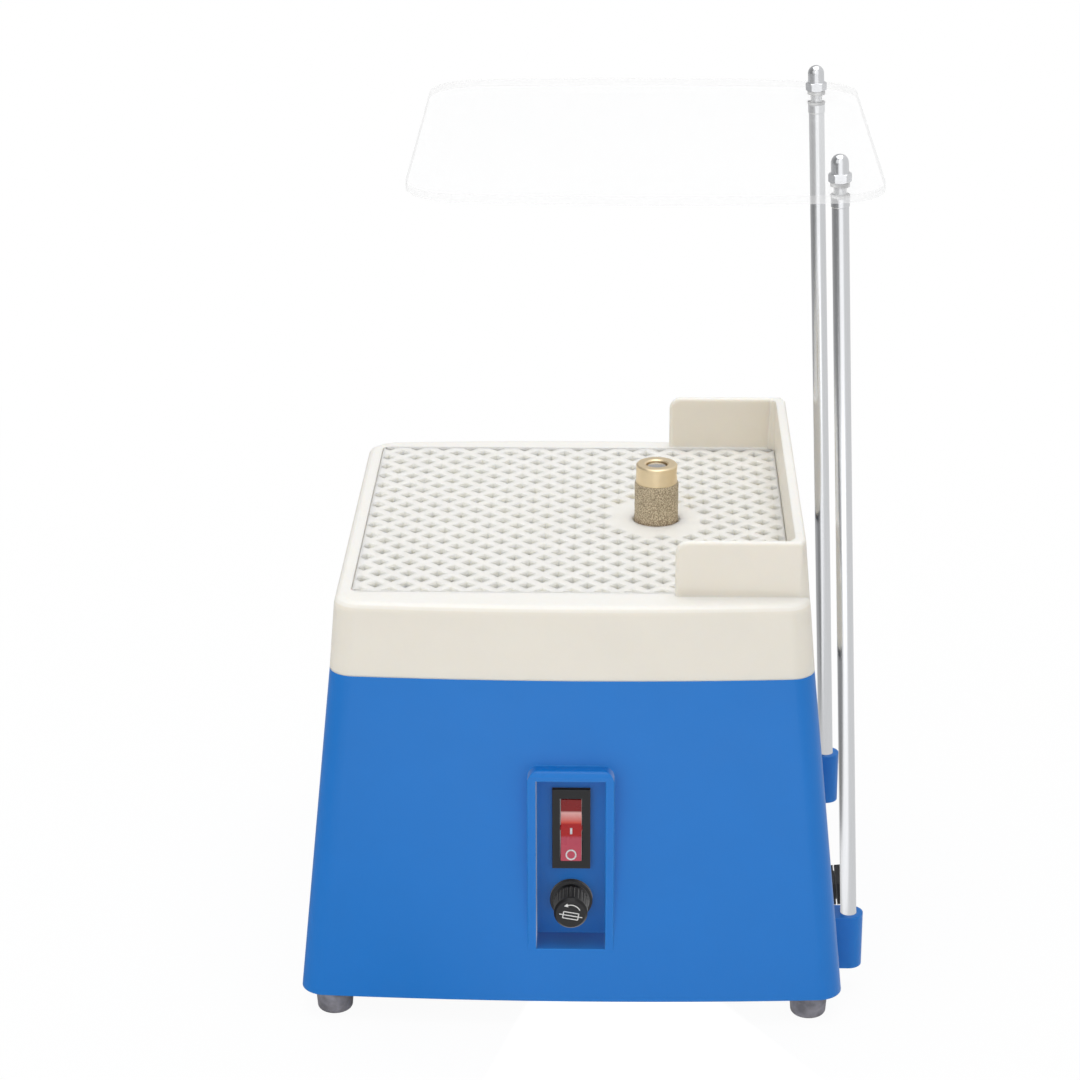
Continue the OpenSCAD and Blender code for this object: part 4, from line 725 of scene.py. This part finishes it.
def make_world():
    world = bpy.data.worlds.new("studio")
    bpy.context.scene.world = world
    world.use_nodes = True
    tree = world.node_tree
    ambient = tree.nodes["Background"]
    ambient.inputs["Color"].default_value = (1.0, 1.0, 1.0, 1.0)
    ambient.inputs["Strength"].default_value = AMBIENT
    studio = Studio(tree, tree.nodes["World Output"], "ShaderNodeBackground")
    direction = tree.nodes.new("ShaderNodeTexCoord").outputs["Generated"]
    studio.wrap(ambient.outputs[0], direction, 1.0)


def soft_box(name, place, target, size, watts):
    lamp = bpy.data.lights.new(name, "AREA")
    lamp.shape = "RECTANGLE"
    lamp.size, lamp.size_y = size
    lamp.energy = watts
    holder = bpy.data.objects.new(name, lamp)
    bpy.context.scene.collection.objects.link(holder)
    holder.location = place
    holder.rotation_euler = (Vector(target) - Vector(place)).to_track_quat("-Z", "Y").to_euler()
    return holder


make_floor()
make_world()
soft_box("key_light", (-0.9, -1.5, 1.2), MIDDLE, (1.6, 1.6), 5.0)
soft_box("low_light", (-0.05, -0.45, 0.03), (0.0, -0.1, 0.04), (0.7, 0.06), 0.13)
soft_box("top_light", (0.0, 0.1, 1.8), MIDDLE, (1.6, 1.6), 15.5)

# ---------------------------------------------------------------- camera, at the photograph's place

CAMERA_PLACE = (0.01288, -1.0839, 0.57385)
CAMERA_PITCH = math.radians(21.21)
CAMERA_YAW = math.radians(-1.636)
CAMERA_ROLL = math.radians(0.214)
LENS_MM = 100.6

lens = bpy.data.cameras.new("camera")
lens.sensor_width = 36.0
lens.lens = LENS_MM
lens.clip_start = 0.05
camera = bpy.data.objects.new("camera", lens)
bpy.context.scene.collection.objects.link(camera)
ahead = Vector((math.sin(CAMERA_YAW) * math.cos(CAMERA_PITCH), math.cos(CAMERA_YAW) * math.cos(CAMERA_PITCH),
                -math.sin(CAMERA_PITCH)))
level_right = Vector((math.cos(CAMERA_YAW), -math.sin(CAMERA_YAW), 0.0))
level_down = ahead.cross(level_right)
right = level_right * math.cos(CAMERA_ROLL) + level_down * math.sin(CAMERA_ROLL)
down = level_down * math.cos(CAMERA_ROLL) - level_right * math.sin(CAMERA_ROLL)
camera.matrix_world = Matrix.Translation(CAMERA_PLACE) @ Matrix((right, -down, -ahead)).transposed().to_4x4()
bpy.context.scene.camera = camera
bpy.context.scene.view_settings.view_transform = "Standard"
